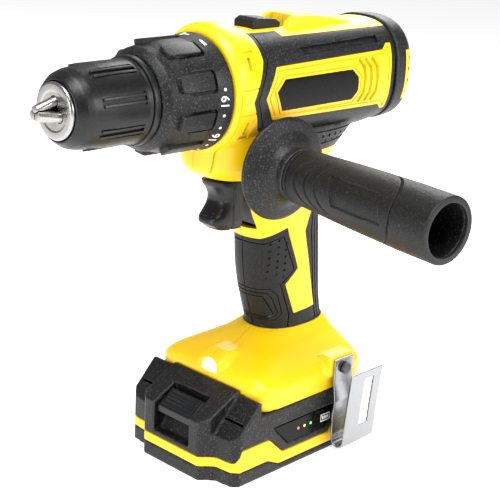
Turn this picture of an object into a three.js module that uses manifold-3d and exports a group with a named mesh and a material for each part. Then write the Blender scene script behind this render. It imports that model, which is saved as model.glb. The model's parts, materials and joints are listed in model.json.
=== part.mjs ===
// A cordless impact drill with a screw-on side handle and a slide-on battery pack.
// Millimetres. +X points along the spindle to the chuck, +Y to the operator's left, +Z up.
// The origin is the centre of the battery's flat base.
import * as THREE from 'three';
import { mergeVertices } from 'three/addons/utils/BufferGeometryUtils.js';
import Module from 'manifold-3d';

const wasm = await Module();
wasm.setup();

// ---------- driving dimensions ----------
const GAP = 0.3;                  // clearance between pieces that touch
const AXIS_Z = 201.5;             // height of the spindle axis over the battery's base
const BODY_HALF_WIDTH = 27.5;     // barrel of the housing, half its width
const BODY_TOP = 29;              // barrel top over the axis
const BODY_BOTTOM = 29.5;         // barrel bottom under the axis
const BODY_REAR = -80;            // joint between housing and rear cap
const BODY_FRONT = 44.6;          // front of the housing's collar
const COLLAR_RISE = 4.2;          // how far the front collar stands over the barrel
const BARREL_BORE = BODY_HALF_WIDTH - 3.9;   // radius of the hollow that holds motor and gearbox
const CAP_LENGTH = 18.5;          // rear cap, front to back
const WALL = 2.4;                 // housing wall
const RUBBER = 2.0;               // thickness of the moulded-on rubber
const SPLIT = GAP / 2;            // each housing half stops this far from the middle plane

const GRIP_HALF_WIDTH = 17;       // grip at its middle
const GRIP_TOP = 180;             // drawn height where the grip's loft ends, inside the barrel
const FOOT_BOTTOM = 36;           // underside of the foot
const FOOT_EDGE = 46;             // height where the foot's upright sides end
const FOOT_FRONT = 28.2;          // upright front face of the foot
const FOOT_REAR = -56;
const FOOT_HALF_WIDTH = 40.8;
const CLIP_SCREW_X = -32.3;       // belt clip's screw
const CLIP_SCREW_Z = 48.2;

const PACK_FRONT = 54.4;          // battery pack
const PACK_REAR = -56;
const PACK_HALF_WIDTH = 41.2;
const PACK_NOSE_HALF_WIDTH = 22;  // block that stands forward of the pack's corners
const PACK_CORNER_X = 46.5;
const PACK_WALL = 2.2;
const BAND_LOW = 8;               // yellow band round the pack
const BAND_HIGH = 13.4;
const DECK_FRONT_Z = 33;          // sloping deck, low at the front
const DECK_REAR_Z = 45.4;
const RAIL_HALF_WIDTH = 28;       // T rail that slides into the foot
const RAIL_NECK_HALF_WIDTH = 24;
const RAIL_NECK_TOP = 38.8;
const RAIL_TOP = 43;
const RAIL_REAR = -38;
const TERMINAL_PLACES = [-8, 0, 8];   // contact blades, across the rail
const CELL_RADIUS = 9.1;          // 18650 cells
const CELL_LENGTH = 65;
const CELL_COUNT = 5;
const CELL_PITCH = 2 * CELL_RADIUS + 0.8;
const CELL_AXIS_Z = CELL_RADIUS + 3.4;

const CLUTCH_REAR = 45.7;         // torque collar
const CLUTCH_FRONT = 85;
const CLUTCH_RADIUS = 27.1;
const GEARBOX_RADIUS = BARREL_BORE - 0.8;
const GEARBOX_REAR = -8;
const GEARBOX_NOSE_RADIUS = 17.3;
const CHUCK_RING_REAR = 85.6;     // chuck
const CHUCK_SLEEVE_REAR = 89.3;
const CHUCK_SLEEVE_FRONT = 129.2;
const CHUCK_SLEEVE_RADIUS = 20;
const CHUCK_BODY_RADIUS = 16.8;
const CHUCK_NOSE_RADIUS = 13.3;
const CHUCK_NOSE = 131;
const JAW_TIP = 141;
const JAW_ANGLE = THREE.MathUtils.degToRad(17);
const JAW_RADIUS = 2.6;
const JAW_LENGTH = 29;
const JAW_OFFSET = 1;              // a jaw's axis meets the tip plane this far from the spindle axis
const SPINDLE_RADIUS = 5;

const MOTOR_RADIUS = BARREL_BORE - 5.3;      // 550-size motor
const MOTOR_FRONT = -13;
const MOTOR_REAR = -70;
const ARMATURE_RADIUS = MOTOR_RADIUS - 5.5;  // clears the magnets
const SHAFT_RADIUS = 1.6;
const SUN_RADIUS = 4.1;           // pitch radii of the planetary set, 12 : 18 : 48 teeth
const RING_RADIUS = GEARBOX_RADIUS - 6.4;
const PLANET_RADIUS = (RING_RADIUS - SUN_RADIUS) / 2;
const MESH_GAP = 0.15;

const HANDLE_SWEEP = THREE.MathUtils.degToRad(5.25);
const HANDLE_TILT = THREE.MathUtils.degToRad(1.9);
const FLANGE_AT = 33.4;           // distances along the handle's axis
const FLANGE_RADIUS = 26.4;
const HANDLE_END = 142.6;
const HANDLE_END_RADIUS = 16.1;
const HANDLE_BORE = 12.8;
const HANDLE_BORE_DEPTH = 78;
const GRIP_FROM = 47.5;
const STUD_RADIUS = 3.9;
const INSERT_RADIUS = 7;

// Heights between the foot and the spindle axis are drawn for a nominal stretch and follow the real one.
const DRAWN_EDGE = 46;
const DRAWN_REACH = 155.5;
function up(drawn) {
  return FOOT_EDGE + ((drawn - DRAWN_EDGE) * (AXIS_Z - FOOT_EDGE)) / DRAWN_REACH;
}
const TRIGGER_TOP = up(154.6);
const TRIGGER_BOTTOM = up(128);
const TRIGGER_FRONT = 33;
const TRIGGER_HALF_WIDTH = 9;
const TRIGGER_AXIS_Z = up(141);
const HANDLE_AT = new THREE.Vector3(11.1, 0, up(165.7));    // side handle's axis meets the middle plane

// ---------- materials ----------
function finish(color, roughness, metalness = 0) {
  return new THREE.MeshStandardMaterial({ color, roughness, metalness });
}
const yellowPlastic = finish(0xf5c400, 0.42);
const blackPlastic = finish(0x202124, 0.5);
const blackRubber = finish(0x2a2a2b, 0.8);
const brightSteel = finish(0xc9cacc, 0.25, 1);
const darkSteel = finish(0x55575a, 0.4, 1);
const copper = finish(0xb06a3a, 0.4, 0.8);
const cellWrap = finish(0x2f6f9f, 0.45);
const boardGreen = finish(0x1f5a35, 0.6);
const clearLens = finish(0xfdfbe8, 0.1);
const labelBlack = finish(0x0d0d0f, 0.3);

// ---------- shape helpers ----------
function solid(geometry) {
  const bare = geometry.index ? geometry.clone() : geometry;
  bare.deleteAttribute('normal');
  bare.deleteAttribute('uv');
  const merged = mergeVertices(bare, 1e-4);
  const vertProperties = new Float32Array(merged.attributes.position.array);
  const triVerts = new Uint32Array(merged.index.array);
  return new wasm.Manifold(new wasm.Mesh({ numProp: 3, vertProperties, triVerts }));
}

function geometryOf(manifold) {
  const data = manifold.getMesh();
  const geometry = new THREE.BufferGeometry();
  geometry.setAttribute('position', new THREE.BufferAttribute(new Float32Array(data.vertProperties), 3));
  geometry.setIndex(new THREE.BufferAttribute(new Uint32Array(data.triVerts), 1));
  geometry.computeVertexNormals();
  return geometry;
}

// The biggest separate body of a shape, without the crumbs that a cut may leave.
function mainBody(shape) {
  const bodies = shape.decompose();
  const biggest = bodies.reduce((best, body) => (body.volume() > best.volume() ? body : best));
  return biggest.simplify(0.03);
}

function box(x0, x1, y0, y1, z0, z1) {
  const geometry = new THREE.BoxGeometry(x1 - x0, y1 - y0, z1 - z0);
  geometry.translate((x0 + x1) / 2, (y0 + y1) / 2, (z0 + z1) / 2);
  return solid(geometry);
}

// A cylinder between two points.
function rod(radius, from, to, sides = 14) {
  const start = new THREE.Vector3(...from);
  const along = new THREE.Vector3(...to).sub(start);
  const geometry = new THREE.CylinderGeometry(radius, radius, along.length(), sides);
  geometry.translate(0, along.length() / 2, 0);
  const turn = new THREE.Quaternion().setFromUnitVectors(new THREE.Vector3(0, 1, 0), along.normalize());
  geometry.applyQuaternion(turn);
  geometry.translate(start.x, start.y, start.z);
  return solid(geometry);
}

// Turns a profile of [distance along X, radius] pairs about the spindle axis.
function turned(profile, sides = 20) {
  const geometry = new THREE.LatheGeometry(profile.map(([x, r]) => new THREE.Vector2(r, x)), sides);
  geometry.rotateZ(-Math.PI / 2);
  geometry.translate(0, 0, AXIS_Z);
  const shape = solid(geometry);
  return shape.volume() > 0 ? shape : solid(flipped(geometry));
}

function flipped(geometry) {
  const copy = geometry.clone();
  const index = copy.index.array;
  for (let i = 0; i < index.length; i += 3) {
    [index[i], index[i + 1]] = [index[i + 1], index[i]];
  }
  return copy;
}

function tube(x0, x1, outer, inner, sides = 18) {
  return turned([[x0, inner], [x0, outer], [x1, outer], [x1, inner], [x0, inner]], sides);
}

function disc(x0, x1, radius, sides = 20) {
  return turned([[x0, 0], [x0, radius], [x1, radius], [x1, 0]], sides);
}

// Extrudes an outline of [x, z] points along Y.
function sidePrism(outline, y0, y1) {
  const shape = new THREE.Shape(outline.map(([x, z]) => new THREE.Vector2(x, z)));
  const geometry = new THREE.ExtrudeGeometry(shape, { depth: y1 - y0, bevelEnabled: false });
  geometry.rotateX(Math.PI / 2);
  geometry.translate(0, y1, 0);
  return solid(geometry);
}

// Extrudes an outline of [x, y] points along Z.
function planPrism(outline, z0, z1) {
  const shape = new THREE.Shape(outline.map(([x, y]) => new THREE.Vector2(x, y)));
  const geometry = new THREE.ExtrudeGeometry(shape, { depth: z1 - z0, bevelEnabled: false });
  geometry.translate(0, 0, z0);
  return solid(geometry);
}

// Points of a superellipse: power 2 is an ellipse, higher powers are squarer.
function roundedRing(a, b, power, count = 20) {
  const points = [];
  for (let i = 0; i < count; i += 1) {
    const t = (i / count) * 2 * Math.PI;
    const u = Math.sign(Math.cos(t)) * Math.abs(Math.cos(t)) ** (2 / power) * a;
    const v = Math.sign(Math.sin(t)) * Math.abs(Math.sin(t)) ** (2 / power) * b;
    points.push([u, v]);
  }
  return points;
}

// Joins rings of equal point count into one closed skin.
function skin(rings) {
  const count = rings[0].length;
  const positions = rings.flat(2);
  const index = [];
  for (let r = 0; r + 1 < rings.length; r += 1) {
    for (let i = 0; i < count; i += 1) {
      const a = r * count + i;
      const b = r * count + ((i + 1) % count);
      index.push(a, b, b + count, a, b + count, a + count);
    }
  }
  const last = (rings.length - 1) * count;
  for (let i = 1; i + 1 < count; i += 1) {
    index.push(0, i + 1, i);
    index.push(last, last + i, last + i + 1);
  }
  const geometry = new THREE.BufferGeometry();
  geometry.setAttribute('position', new THREE.Float32BufferAttribute(positions, 3));
  geometry.setIndex(index);
  const shape = solid(geometry);
  return shape.volume() > 0 ? shape : solid(flipped(geometry));
}

// Stations along X: [x, half width, rise over the axis, drop under the axis, squareness].
function loftX(stations, grow = 0) {
  return skin(stations.map(([x, half, rise, drop, power]) => {
    const middle = AXIS_Z + (rise - drop) / 2;
    return roundedRing(half + grow, (rise + drop) / 2 + grow, power).map(([u, v]) => [x, u, middle + v]);
  }));
}

// Stations along Z: [z, front x, rear x, half width, squareness].
function loftZ(stations, grow = 0) {
  return skin(stations.map(([z, front, rear, half, power]) => {
    const middle = (front + rear) / 2;
    return roundedRing((front - rear) / 2 + grow, half + grow, power).map(([u, v]) => [middle + u, v, z]);
  }));
}

// ---------- outer forms of the housing ----------
const REACH = 60;                 // further sideways than any piece of the housing
const FAR = 200;                  // further fore and aft than any piece
const HUMP_HALF_WIDTH = 11;
const W = BODY_HALF_WIDTH;
const barrelStations = [
  [BODY_REAR, W - 0.6, BODY_TOP, BODY_BOTTOM - 3, 2.7],
  [BODY_REAR + 20, W, BODY_TOP, BODY_BOTTOM - 1, 2.7],
  [-25, W, BODY_TOP, BODY_BOTTOM, 2.7],
  [8, W, BODY_TOP, BODY_BOTTOM, 2.6],
  [22, W + 0.2, BODY_TOP + 0.6, BODY_BOTTOM, 2.4],
  [28, W + 1.4, BODY_TOP + COLLAR_RISE * 0.8, BODY_BOTTOM + 1.5, 2.2],
  [39, W + 2.6, BODY_TOP + COLLAR_RISE, BODY_BOTTOM + 2, 2.1],
  [BODY_FRONT, W + 1.2, BODY_TOP + 1.2, BODY_BOTTOM, 2.05],
];
const G = GRIP_HALF_WIDTH;
const gripStations = [
  [up(54), -6, -55, G + 1, 2.5],
  [up(62), -7, -54.5, G, 2.4],
  [up(70), -4, -52.6, G - 0.6, 2.3],
  [up(80), -0.6, -51, G - 0.6, 2.3],
  [up(92), 3, -49.8, G - 0.3, 2.3],
  [up(106), 5.4, -48.4, G, 2.3],
  [up(118), 6.4, -47.3, G, 2.3],
  [up(126), 8.5, -46.3, G + 0.5, 2.3],
  [up(134), 12, -45, G + 1.6, 2.4],
  [up(144), 15, -44, G + 3, 2.5],
  [up(154), 18, -45, G + 4.2, 2.5],
  [up(162), 22, -49.5, G + 5.4, 2.5],
  [up(170), 26, -57, G + 7, 2.6],
  [up(GRIP_TOP), 30, -68, G + 8.5, 2.7],
];
const chinStations = [
  [up(155), 31, -12, G - 1.5, 2.4],
  [up(158), 39, -12, G, 2.5],
  [up(162.5), 44.3, -12, G + 2.5, 2.4],
  [up(170), 44.5, -12, G + 6, 2.3],
  [up(GRIP_TOP), 44.5, -12, G + 8.5, 2.3],
];
const footStations = [
  [FOOT_BOTTOM, FOOT_FRONT, FOOT_REAR, FOOT_HALF_WIDTH, 9],
  [FOOT_EDGE, FOOT_FRONT, FOOT_REAR, FOOT_HALF_WIDTH, 9],
  [FOOT_EDGE + 4.5, FOOT_FRONT - 1.5, FOOT_REAR + 0.5, FOOT_HALF_WIDTH - 3.4, 6],
  [FOOT_EDGE + 10, FOOT_FRONT - 12, FOOT_REAR + 0.8, FOOT_HALF_WIDTH - 12, 4],
  [FOOT_EDGE + 15, FOOT_FRONT - 23, FOOT_REAR + 1, FOOT_HALF_WIDTH - 19.5, 3],
  [FOOT_EDGE + 20, FOOT_FRONT - 31.5, FOOT_REAR + 1.6, G + 0.4, 2.5],
];
const ledHumpStations = [
  [FOOT_EDGE - 1, 27.6, 6, 10, 4],
  [FOOT_EDGE + 8, 26.6, 5, 9, 3.4],
  [FOOT_EDGE + 12.5, 19, 4, 7, 3],
];
const hump = sidePrism([
  [-9, AXIS_Z + 24], [-9, AXIS_Z + 31], [-14, AXIS_Z + 34], [-25, AXIS_Z + 34.2],
  [-45, AXIS_Z + 31.5], [-60, AXIS_Z + 28.4], [-60, AXIS_Z + 24],
], -HUMP_HALF_WIDTH, HUMP_HALF_WIDTH);
const clipPad = box(-42, -22, 34, 43.1, FOOT_EDGE - 2, FOOT_EDGE + 9.5);

function housingForm(grow) {
  return loftX(barrelStations, grow)
    .add(loftZ(gripStations, grow))
    .add(loftZ(chinStations, grow))
    .add(loftZ(footStations, grow));
}

// ---------- rubber regions, as outlines in the side view ----------
const bandOutline = [
  [23, AXIS_Z + 40], [23, AXIS_Z + 16.5], [32.7, AXIS_Z - 2.3], [24.7, AXIS_Z - 17], [10, AXIS_Z - 28],
  [-20, AXIS_Z - 34.5], [-52, AXIS_Z - 34.5], [BODY_REAR - 5, AXIS_Z - 22], [BODY_REAR - 5, AXIS_Z + 25.5],
  [2, AXIS_Z + 25.5], [2, AXIS_Z + 40],
];
const bandWindow = [
  [22.9, AXIS_Z - 2.1], [14.7, AXIS_Z + 13.2], [-68, AXIS_Z + 15], [-72, AXIS_Z + 18],
  [-76, AXIS_Z + 18], [-76, AXIS_Z - 18], [-72, AXIS_Z - 18], [-68, AXIS_Z - 15], [16.3, AXIS_Z - 13.5],
];
const gripOutline = [
  [22, up(121)], [3, up(119.5)], [-10.4, up(125)], [-20.3, up(100.6)], [-12.2, up(92.6)], [-20.1, up(74)],
  [-37.4, up(75.1)], [-25, up(121)], [-29, up(134)], [-62, up(140)],
  [-62, FOOT_EDGE + 20.6], [22, FOOT_EDGE + 20.6],
];

function outlineGrown(outline, grow) {
  const cx = outline.reduce((sum, p) => sum + p[0], 0) / outline.length;
  const cz = outline.reduce((sum, p) => sum + p[1], 0) / outline.length;
  return outline.map(([x, z]) => [x + Math.sign(x - cx) * grow, z + Math.sign(z - cz) * grow]);
}

const outer = housingForm(0);
const skinZone = outer.subtract(loftX(barrelStations, -RUBBER).add(loftZ(gripStations, -RUBBER)));
const skinZoneWide = housingForm(0.5)
  .subtract(loftX(barrelStations, -RUBBER - GAP).add(loftZ(gripStations, -RUBBER - GAP)));
const bandRegion = sidePrism(bandOutline, -REACH, REACH).subtract(sidePrism(bandWindow, -REACH, REACH));
const gripRegion = sidePrism(gripOutline, -REACH, REACH);

// The region and a clearance all round it in the side view.
function withGap(region) {
  return region
    .add(region.translate([GAP, 0, 0]))
    .add(region.translate([-GAP, 0, 0]))
    .add(region.translate([0, 0, GAP]))
    .add(region.translate([0, 0, -GAP]));
}
const bandRegionWide = withGap(bandRegion);
const gripRegionWide = withGap(gripRegion);

// ---------- fastener places: [x, z, y of the head's seat on the right side] ----------
const HEAD_RADIUS = 3;
const HEAD_HEIGHT = 2;
const SCREW_RADIUS = 1.5;
const BOSS_RADIUS = 4;
const screwPlaces = [
  [-64, AXIS_Z - 22.3, -10], [36.5, AXIS_Z - 35.5, -12], [-24, up(82), -10],
];

// ---------- side handle axis ----------
const handleAxis = new THREE.Vector3(
  Math.sin(HANDLE_SWEEP) * Math.cos(HANDLE_TILT),
  Math.cos(HANDLE_SWEEP) * Math.cos(HANDLE_TILT),
  -Math.sin(HANDLE_TILT),
);
function onHandle(distance) {
  return HANDLE_AT.clone().addScaledVector(handleAxis, distance).toArray();
}

// ---------- housing halves ----------
const barrelBore = disc(BODY_REAR - 1, BODY_FRONT + 1, BARREL_BORE);
const gripHollow = loftZ(gripStations.slice(0, -1), -RUBBER - WALL);
const footHollow = loftZ(footStations.slice(1), -WALL).intersect(
  box(FOOT_REAR, FOOT_FRONT, -REACH, REACH, FOOT_EDGE + 1.4, FOOT_EDGE + 12),
);
const railPocket = box(RAIL_REAR - 15, FOOT_FRONT + 5, -RAIL_NECK_HALF_WIDTH - GAP,
  RAIL_NECK_HALF_WIDTH + GAP, FOOT_BOTTOM - 1, RAIL_NECK_TOP)
  .add(box(RAIL_REAR - 15, FOOT_FRONT + 5, -RAIL_HALF_WIDTH - GAP, RAIL_HALF_WIDTH + GAP,
    RAIL_NECK_TOP - GAP, RAIL_TOP + GAP));
const triggerMouth = box(-1, REACH, -TRIGGER_HALF_WIDTH - GAP, TRIGGER_HALF_WIDTH + GAP,
  TRIGGER_BOTTOM - 2.4, TRIGGER_TOP + GAP);
const selectorBar = [-11.5, -4.5, up(151.5), up(156.5)];
const selectorSlot = box(selectorBar[0] - GAP, selectorBar[1] + GAP, -REACH, REACH,
  selectorBar[2] - GAP, selectorBar[3] + GAP);
const insertPocket = rod(INSERT_RADIUS + GAP, onHandle(9.7), onHandle(60));
const insertBoss = rod(INSERT_RADIUS + WALL + GAP, onHandle(7.5), onHandle(20));
const gearSlot = box(-16, 13, -7.3, 7.3, AXIS_Z + 20, AXIS_Z + 40);
const ledPocket = box(15.6, 40, -6.3, 6.3, FOOT_EDGE + 1.7, FOOT_EDGE + 9.3);
const ventSlots = [[33.5, 12.5], [33.5, -6.8]].map(([x, z]) => (
  box(x - 1.1, x + 1.1, -REACH, REACH, AXIS_Z + z, AXIS_Z + z + 6.5)));
const clipScrewHole = rod(1.8, [CLIP_SCREW_X, 30, CLIP_SCREW_Z], [CLIP_SCREW_X, 50, CLIP_SCREW_Z]);

let housing = outer.add(loftZ(ledHumpStations)).add(hump).add(clipPad);
housing = housing.subtract(gripHollow).subtract(footHollow);
const bosses = screwPlaces.map(([x, z]) => rod(BOSS_RADIUS, [x, -13, z], [x, 13, z], 12));
bosses.forEach((boss) => {
  housing = housing.add(boss);
});
housing = housing.add(insertBoss.intersect(outer));
housing = housing.subtract(skinZoneWide.intersect(bandRegionWide.add(gripRegionWide)));
housing = housing.subtract(barrelBore).subtract(railPocket).subtract(triggerMouth);
housing = housing.subtract(selectorSlot).subtract(insertPocket).subtract(gearSlot);
housing = housing.subtract(ledPocket).subtract(clipScrewHole);
ventSlots.forEach((slot) => {
  housing = housing.subtract(slot);
});
screwPlaces.forEach(([x, z, seat]) => {
  housing = housing.subtract(rod(SCREW_RADIUS + GAP, [x, seat - 1, z], [x, 11, z], 10));
  housing = housing.subtract(rod(HEAD_RADIUS + GAP, [x, -REACH, z], [x, seat, z], 12));
});
const labelOutline = [
  [14.3, AXIS_Z + 0.5], [9, AXIS_Z + 6.3], [-42.4, AXIS_Z + 6.5], [-47.8, AXIS_Z + 2], [-47.8, AXIS_Z - 5],
  [-43.4, AXIS_Z - 9], [10, AXIS_Z - 9],
];
const LABEL_DEPTH = 1;
const labelZone = sidePrism(labelOutline, -REACH, REACH)
  .subtract(loftX(barrelStations, -LABEL_DEPTH));
const labelPocket = sidePrism(outlineGrown(labelOutline, GAP), -REACH, REACH)
  .subtract(loftX(barrelStations, -LABEL_DEPTH - GAP));
housing = housing.subtract(labelPocket);

const leftSpace = box(-FAR, FAR, SPLIT, 100, -10, AXIS_Z + 100);
const rightSpace = box(-FAR, FAR, -100, -SPLIT, -10, AXIS_Z + 100);
const pieces = [];
function piece(name, shape, material) {
  pieces.push([name, shape, material]);
}
piece('housing_left', mainBody(housing.intersect(leftSpace)), yellowPlastic);
piece('housing_right', mainBody(housing.intersect(rightSpace)), yellowPlastic);

const barrelRubber = skinZone.intersect(bandRegion).intersect(loftX(barrelStations).add(loftZ(gripStations)))
  .subtract(insertPocket).subtract(loftX(barrelStations, -RUBBER)).subtract(gearSlot)
  .subtract(box(-FAR, FAR, -HUMP_HALF_WIDTH - 0.5, HUMP_HALF_WIDTH + 0.5, AXIS_Z + 20, AXIS_Z + 100))
  .subtract(gripRegionWide);
const gripRubber = skinZone.intersect(gripRegion).intersect(loftZ(gripStations));
const screwTunnels = screwPlaces.map(([x, z]) => rod(HEAD_RADIUS + GAP, [x, -REACH, z], [x, 0, z], 12));
[['left', leftSpace], ['right', rightSpace]].forEach(([side, space]) => {
  let band = barrelRubber.intersect(space);
  let grip = gripRubber.intersect(space);
  if (side === 'right') {
    screwTunnels.forEach((tunnel) => {
      band = band.subtract(tunnel);
      grip = grip.subtract(tunnel);
    });
  }
  piece(`barrel_rubber_${side}`, mainBody(band), blackRubber);
  piece(`grip_rubber_${side}`, mainBody(grip), blackRubber);
  piece(`label_plate_${side}`, mainBody(labelZone.intersect(outer).intersect(space)), labelBlack);
});

// ---------- rear cap with its two vent inserts ----------
const capStations = [
  [BODY_REAR - GAP, W + 0.4, BODY_TOP + 1.2, BODY_BOTTOM - 2, 2.6],
  [BODY_REAR - 0.55 * CAP_LENGTH, W, BODY_TOP + 0.8, BODY_BOTTOM - 2.5, 2.5],
  [BODY_REAR - 0.85 * CAP_LENGTH, W - 3.5, BODY_TOP - 3, BODY_BOTTOM - 6, 2.4],
  [BODY_REAR - CAP_LENGTH, W - 11, BODY_TOP - 10, BODY_BOTTOM - 13, 2.2],
];
const capForm = loftX(capStations);
const capHollow = loftX(capStations.slice(0, 3), -WALL)
  .add(disc(BODY_REAR - 3, BODY_REAR + 1, BARREL_BORE));
const ventBlock = (grow) => box(BODY_REAR - 17 - grow, BODY_REAR - 8 + grow, 12 - grow, REACH,
  AXIS_Z - 14 - grow, AXIS_Z + 13 + grow);
const ventSide = ventBlock(0);
const ventSideWide = ventBlock(GAP);
const mirrorY = (shape) => shape.mirror([0, 1, 0]);
const capShell = capForm.subtract(capHollow);
piece('rear_cap', mainBody(capShell.subtract(ventSideWide).subtract(mirrorY(ventSideWide))), blackPlastic);
let ventInsert = capShell.intersect(ventSide);
for (let i = 0; i < 4; i += 1) {
  const z = AXIS_Z - 11 + 6.2 * i;
  ventInsert = ventInsert.subtract(box(BODY_REAR - 15, BODY_REAR - 10, 0, REACH, z, z + 2.4));
}
piece('rear_vent_left', mainBody(ventInsert), yellowPlastic);
piece('rear_vent_right', mainBody(mirrorY(ventInsert)), yellowPlastic);

// Three pieces are spaced evenly round the spindle, the first at the top.
function thirdTurn(i) {
  return (i * 2 * Math.PI) / 3 + Math.PI / 2;
}

// ---------- motor ----------
piece('motor_can', tube(MOTOR_REAR, MOTOR_FRONT, MOTOR_RADIUS, MOTOR_RADIUS - 1.4)
  .add(tube(MOTOR_FRONT - 1.6, MOTOR_FRONT, MOTOR_RADIUS - 1, 4.5)), darkSteel);
piece('motor_end_plate', tube(MOTOR_REAR - 3, MOTOR_REAR - GAP, MOTOR_RADIUS, 3), blackPlastic);
const magnetRing = tube(MOTOR_REAR + 12, MOTOR_FRONT - 8, MOTOR_RADIUS - 1.7, MOTOR_RADIUS - 4.6);
piece('magnet_left', magnetRing.intersect(box(-100, 0, 4, 40, AXIS_Z - 60, AXIS_Z + 60)), darkSteel);
piece('magnet_right', magnetRing.intersect(box(-100, 0, -40, -4, AXIS_Z - 60, AXIS_Z + 60)), darkSteel);
piece('armature', turned([
  [MOTOR_REAR + 4, SHAFT_RADIUS + 0.1], [MOTOR_REAR + 4, 5], [MOTOR_REAR + 13, 5],
  [MOTOR_REAR + 14, ARMATURE_RADIUS],
  [MOTOR_FRONT - 10, ARMATURE_RADIUS], [MOTOR_FRONT - 8, 6], [MOTOR_FRONT - 8, SHAFT_RADIUS + 0.1],
  [MOTOR_REAR + 4, SHAFT_RADIUS + 0.1],
], 20), copper);
piece('motor_shaft', disc(MOTOR_REAR - 9, 8, SHAFT_RADIUS, 16)
  .add(disc(-1, 7.5, SUN_RADIUS - MESH_GAP, 24)), brightSteel);
piece('cooling_fan', tube(MOTOR_REAR - 8.5, MOTOR_REAR - 4, 15, SHAFT_RADIUS + 0.1), blackPlastic);

// ---------- gearbox ----------
piece('gearbox_case', tube(GEARBOX_REAR, BODY_FRONT - 0.6, GEARBOX_RADIUS, GEARBOX_RADIUS - 2.4)
  .add(tube(BODY_FRONT - 4, BODY_FRONT - 0.6, GEARBOX_RADIUS - 1, GEARBOX_NOSE_RADIUS - 3))
  .add(tube(BODY_FRONT - 1, CLUTCH_FRONT - 1, GEARBOX_NOSE_RADIUS, GEARBOX_NOSE_RADIUS - 3)), darkSteel);
piece('ring_gear', tube(-1, 8, GEARBOX_RADIUS - 3, RING_RADIUS + MESH_GAP, 24), brightSteel);
const orbit = SUN_RADIUS + PLANET_RADIUS;
let carrier = tube(8.8, 12, 14, SPINDLE_RADIUS + 0.1);
for (let i = 0; i < 3; i += 1) {
  const angle = thirdTurn(i);
  const y = orbit * Math.cos(angle);
  const z = AXIS_Z + orbit * Math.sin(angle);
  piece(`planet_gear_${i + 1}`, rod(PLANET_RADIUS - MESH_GAP, [0, y, z], [7.5, y, z], 20)
    .subtract(rod(2, [-1, y, z], [9, y, z], 16)), brightSteel);
  carrier = carrier.add(rod(1.7, [-0.5, y, z], [9, y, z], 16));
}
piece('planet_carrier', carrier, brightSteel);
piece('spindle_bearing', tube(BODY_FRONT - 12, BODY_FRONT - 4.3, GEARBOX_RADIUS - 2.7, SPINDLE_RADIUS + 0.1),
  brightSteel);

// ---------- torque collar ----------
const clutchWall = 3;
let clutch = turned([
  [CLUTCH_REAR, CLUTCH_RADIUS - clutchWall - 0.3], [CLUTCH_REAR, CLUTCH_RADIUS + 1.6],
  [CLUTCH_REAR + 1.8, CLUTCH_RADIUS + 1.9], [CLUTCH_REAR + 11.3, CLUTCH_RADIUS],
  [66.5, CLUTCH_RADIUS], [72.2, CLUTCH_RADIUS - 0.5], [77.9, CLUTCH_RADIUS - 1.9],
  [81.7, CLUTCH_RADIUS - 2.4], [CLUTCH_FRONT, CLUTCH_RADIUS - 5.4],
  [CLUTCH_FRONT, GEARBOX_NOSE_RADIUS + 0.4], [CLUTCH_FRONT - 3, GEARBOX_NOSE_RADIUS + 0.4],
  [CLUTCH_FRONT - 6, CLUTCH_RADIUS - clutchWall - 3.5], [CLUTCH_REAR + 12, CLUTCH_RADIUS - clutchWall - 0.3],
  [CLUTCH_REAR, CLUTCH_RADIUS - clutchWall - 0.3],
], 24);
const CLUTCH_RIBS = 9;
for (let i = 0; i < CLUTCH_RIBS; i += 1) {
  const rib = box(58, 77, -4.6, 4.6, CLUTCH_RADIUS - 4.5, CLUTCH_RADIUS + 0.9)
    .rotate([(i * 360) / CLUTCH_RIBS + 12, 0, 0]).translate([0, 0, AXIS_Z]);
  clutch = clutch.add(rib);
}
piece('clutch_ring', mainBody(clutch), blackPlastic);

// ---------- chuck ----------
piece('spindle', disc(8.5, 100, SPINDLE_RADIUS, 24), brightSteel);
let chuckBody = turned([
  [CLUTCH_FRONT + 1, SPINDLE_RADIUS + 0.1], [CLUTCH_FRONT + 1, 12], [CHUCK_SLEEVE_REAR + 1, 12],
  [CHUCK_SLEEVE_REAR + 1, CHUCK_BODY_RADIUS], [117, CHUCK_BODY_RADIUS], [121, CHUCK_NOSE_RADIUS],
  [CHUCK_NOSE - 0.8, CHUCK_NOSE_RADIUS], [CHUCK_NOSE, CHUCK_NOSE_RADIUS - 0.8], [CHUCK_NOSE, 3.4],
  [101, 3.4], [101, SPINDLE_RADIUS + 0.1], [CLUTCH_FRONT + 1, SPINDLE_RADIUS + 0.1],
], 24);
const jaws = [];
for (let i = 0; i < 3; i += 1) {
  const angle = thirdTurn(i);
  const lean = Math.sin(JAW_ANGLE);
  const back = [-Math.cos(JAW_ANGLE), lean * Math.cos(angle), lean * Math.sin(angle)];
  const tip = [JAW_TIP, JAW_OFFSET * Math.cos(angle), AXIS_Z + JAW_OFFSET * Math.sin(angle)];
  const from = tip.map((v, k) => v - 6 * back[k]);
  const to = tip.map((v, k) => v + JAW_LENGTH * back[k]);
  const far = tip.map((v, k) => v + 60 * back[k]);
  const near = tip.map((v, k) => v - 12 * back[k]);
  chuckBody = chuckBody.subtract(rod(JAW_RADIUS + GAP, near, far, 20));
  // each jaw keeps to its own third of the mouth, behind the tip plane
  const side = 40;
  const wedge = new THREE.Shape([
    new THREE.Vector2(0.35, 0), new THREE.Vector2(side, side * Math.sqrt(3)), new THREE.Vector2(side * 3, 0),
    new THREE.Vector2(side, -side * Math.sqrt(3)),
  ]);
  const wedgeGeometry = new THREE.ExtrudeGeometry(wedge, { depth: 80, bevelEnabled: false });
  wedgeGeometry.rotateY(Math.PI / 2);
  wedgeGeometry.rotateX(angle - Math.PI / 2 + Math.PI);
  wedgeGeometry.translate(JAW_TIP - 80, 0, AXIS_Z);
  jaws.push(rod(JAW_RADIUS, from, to, 20).intersect(solid(wedgeGeometry)));
}
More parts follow.
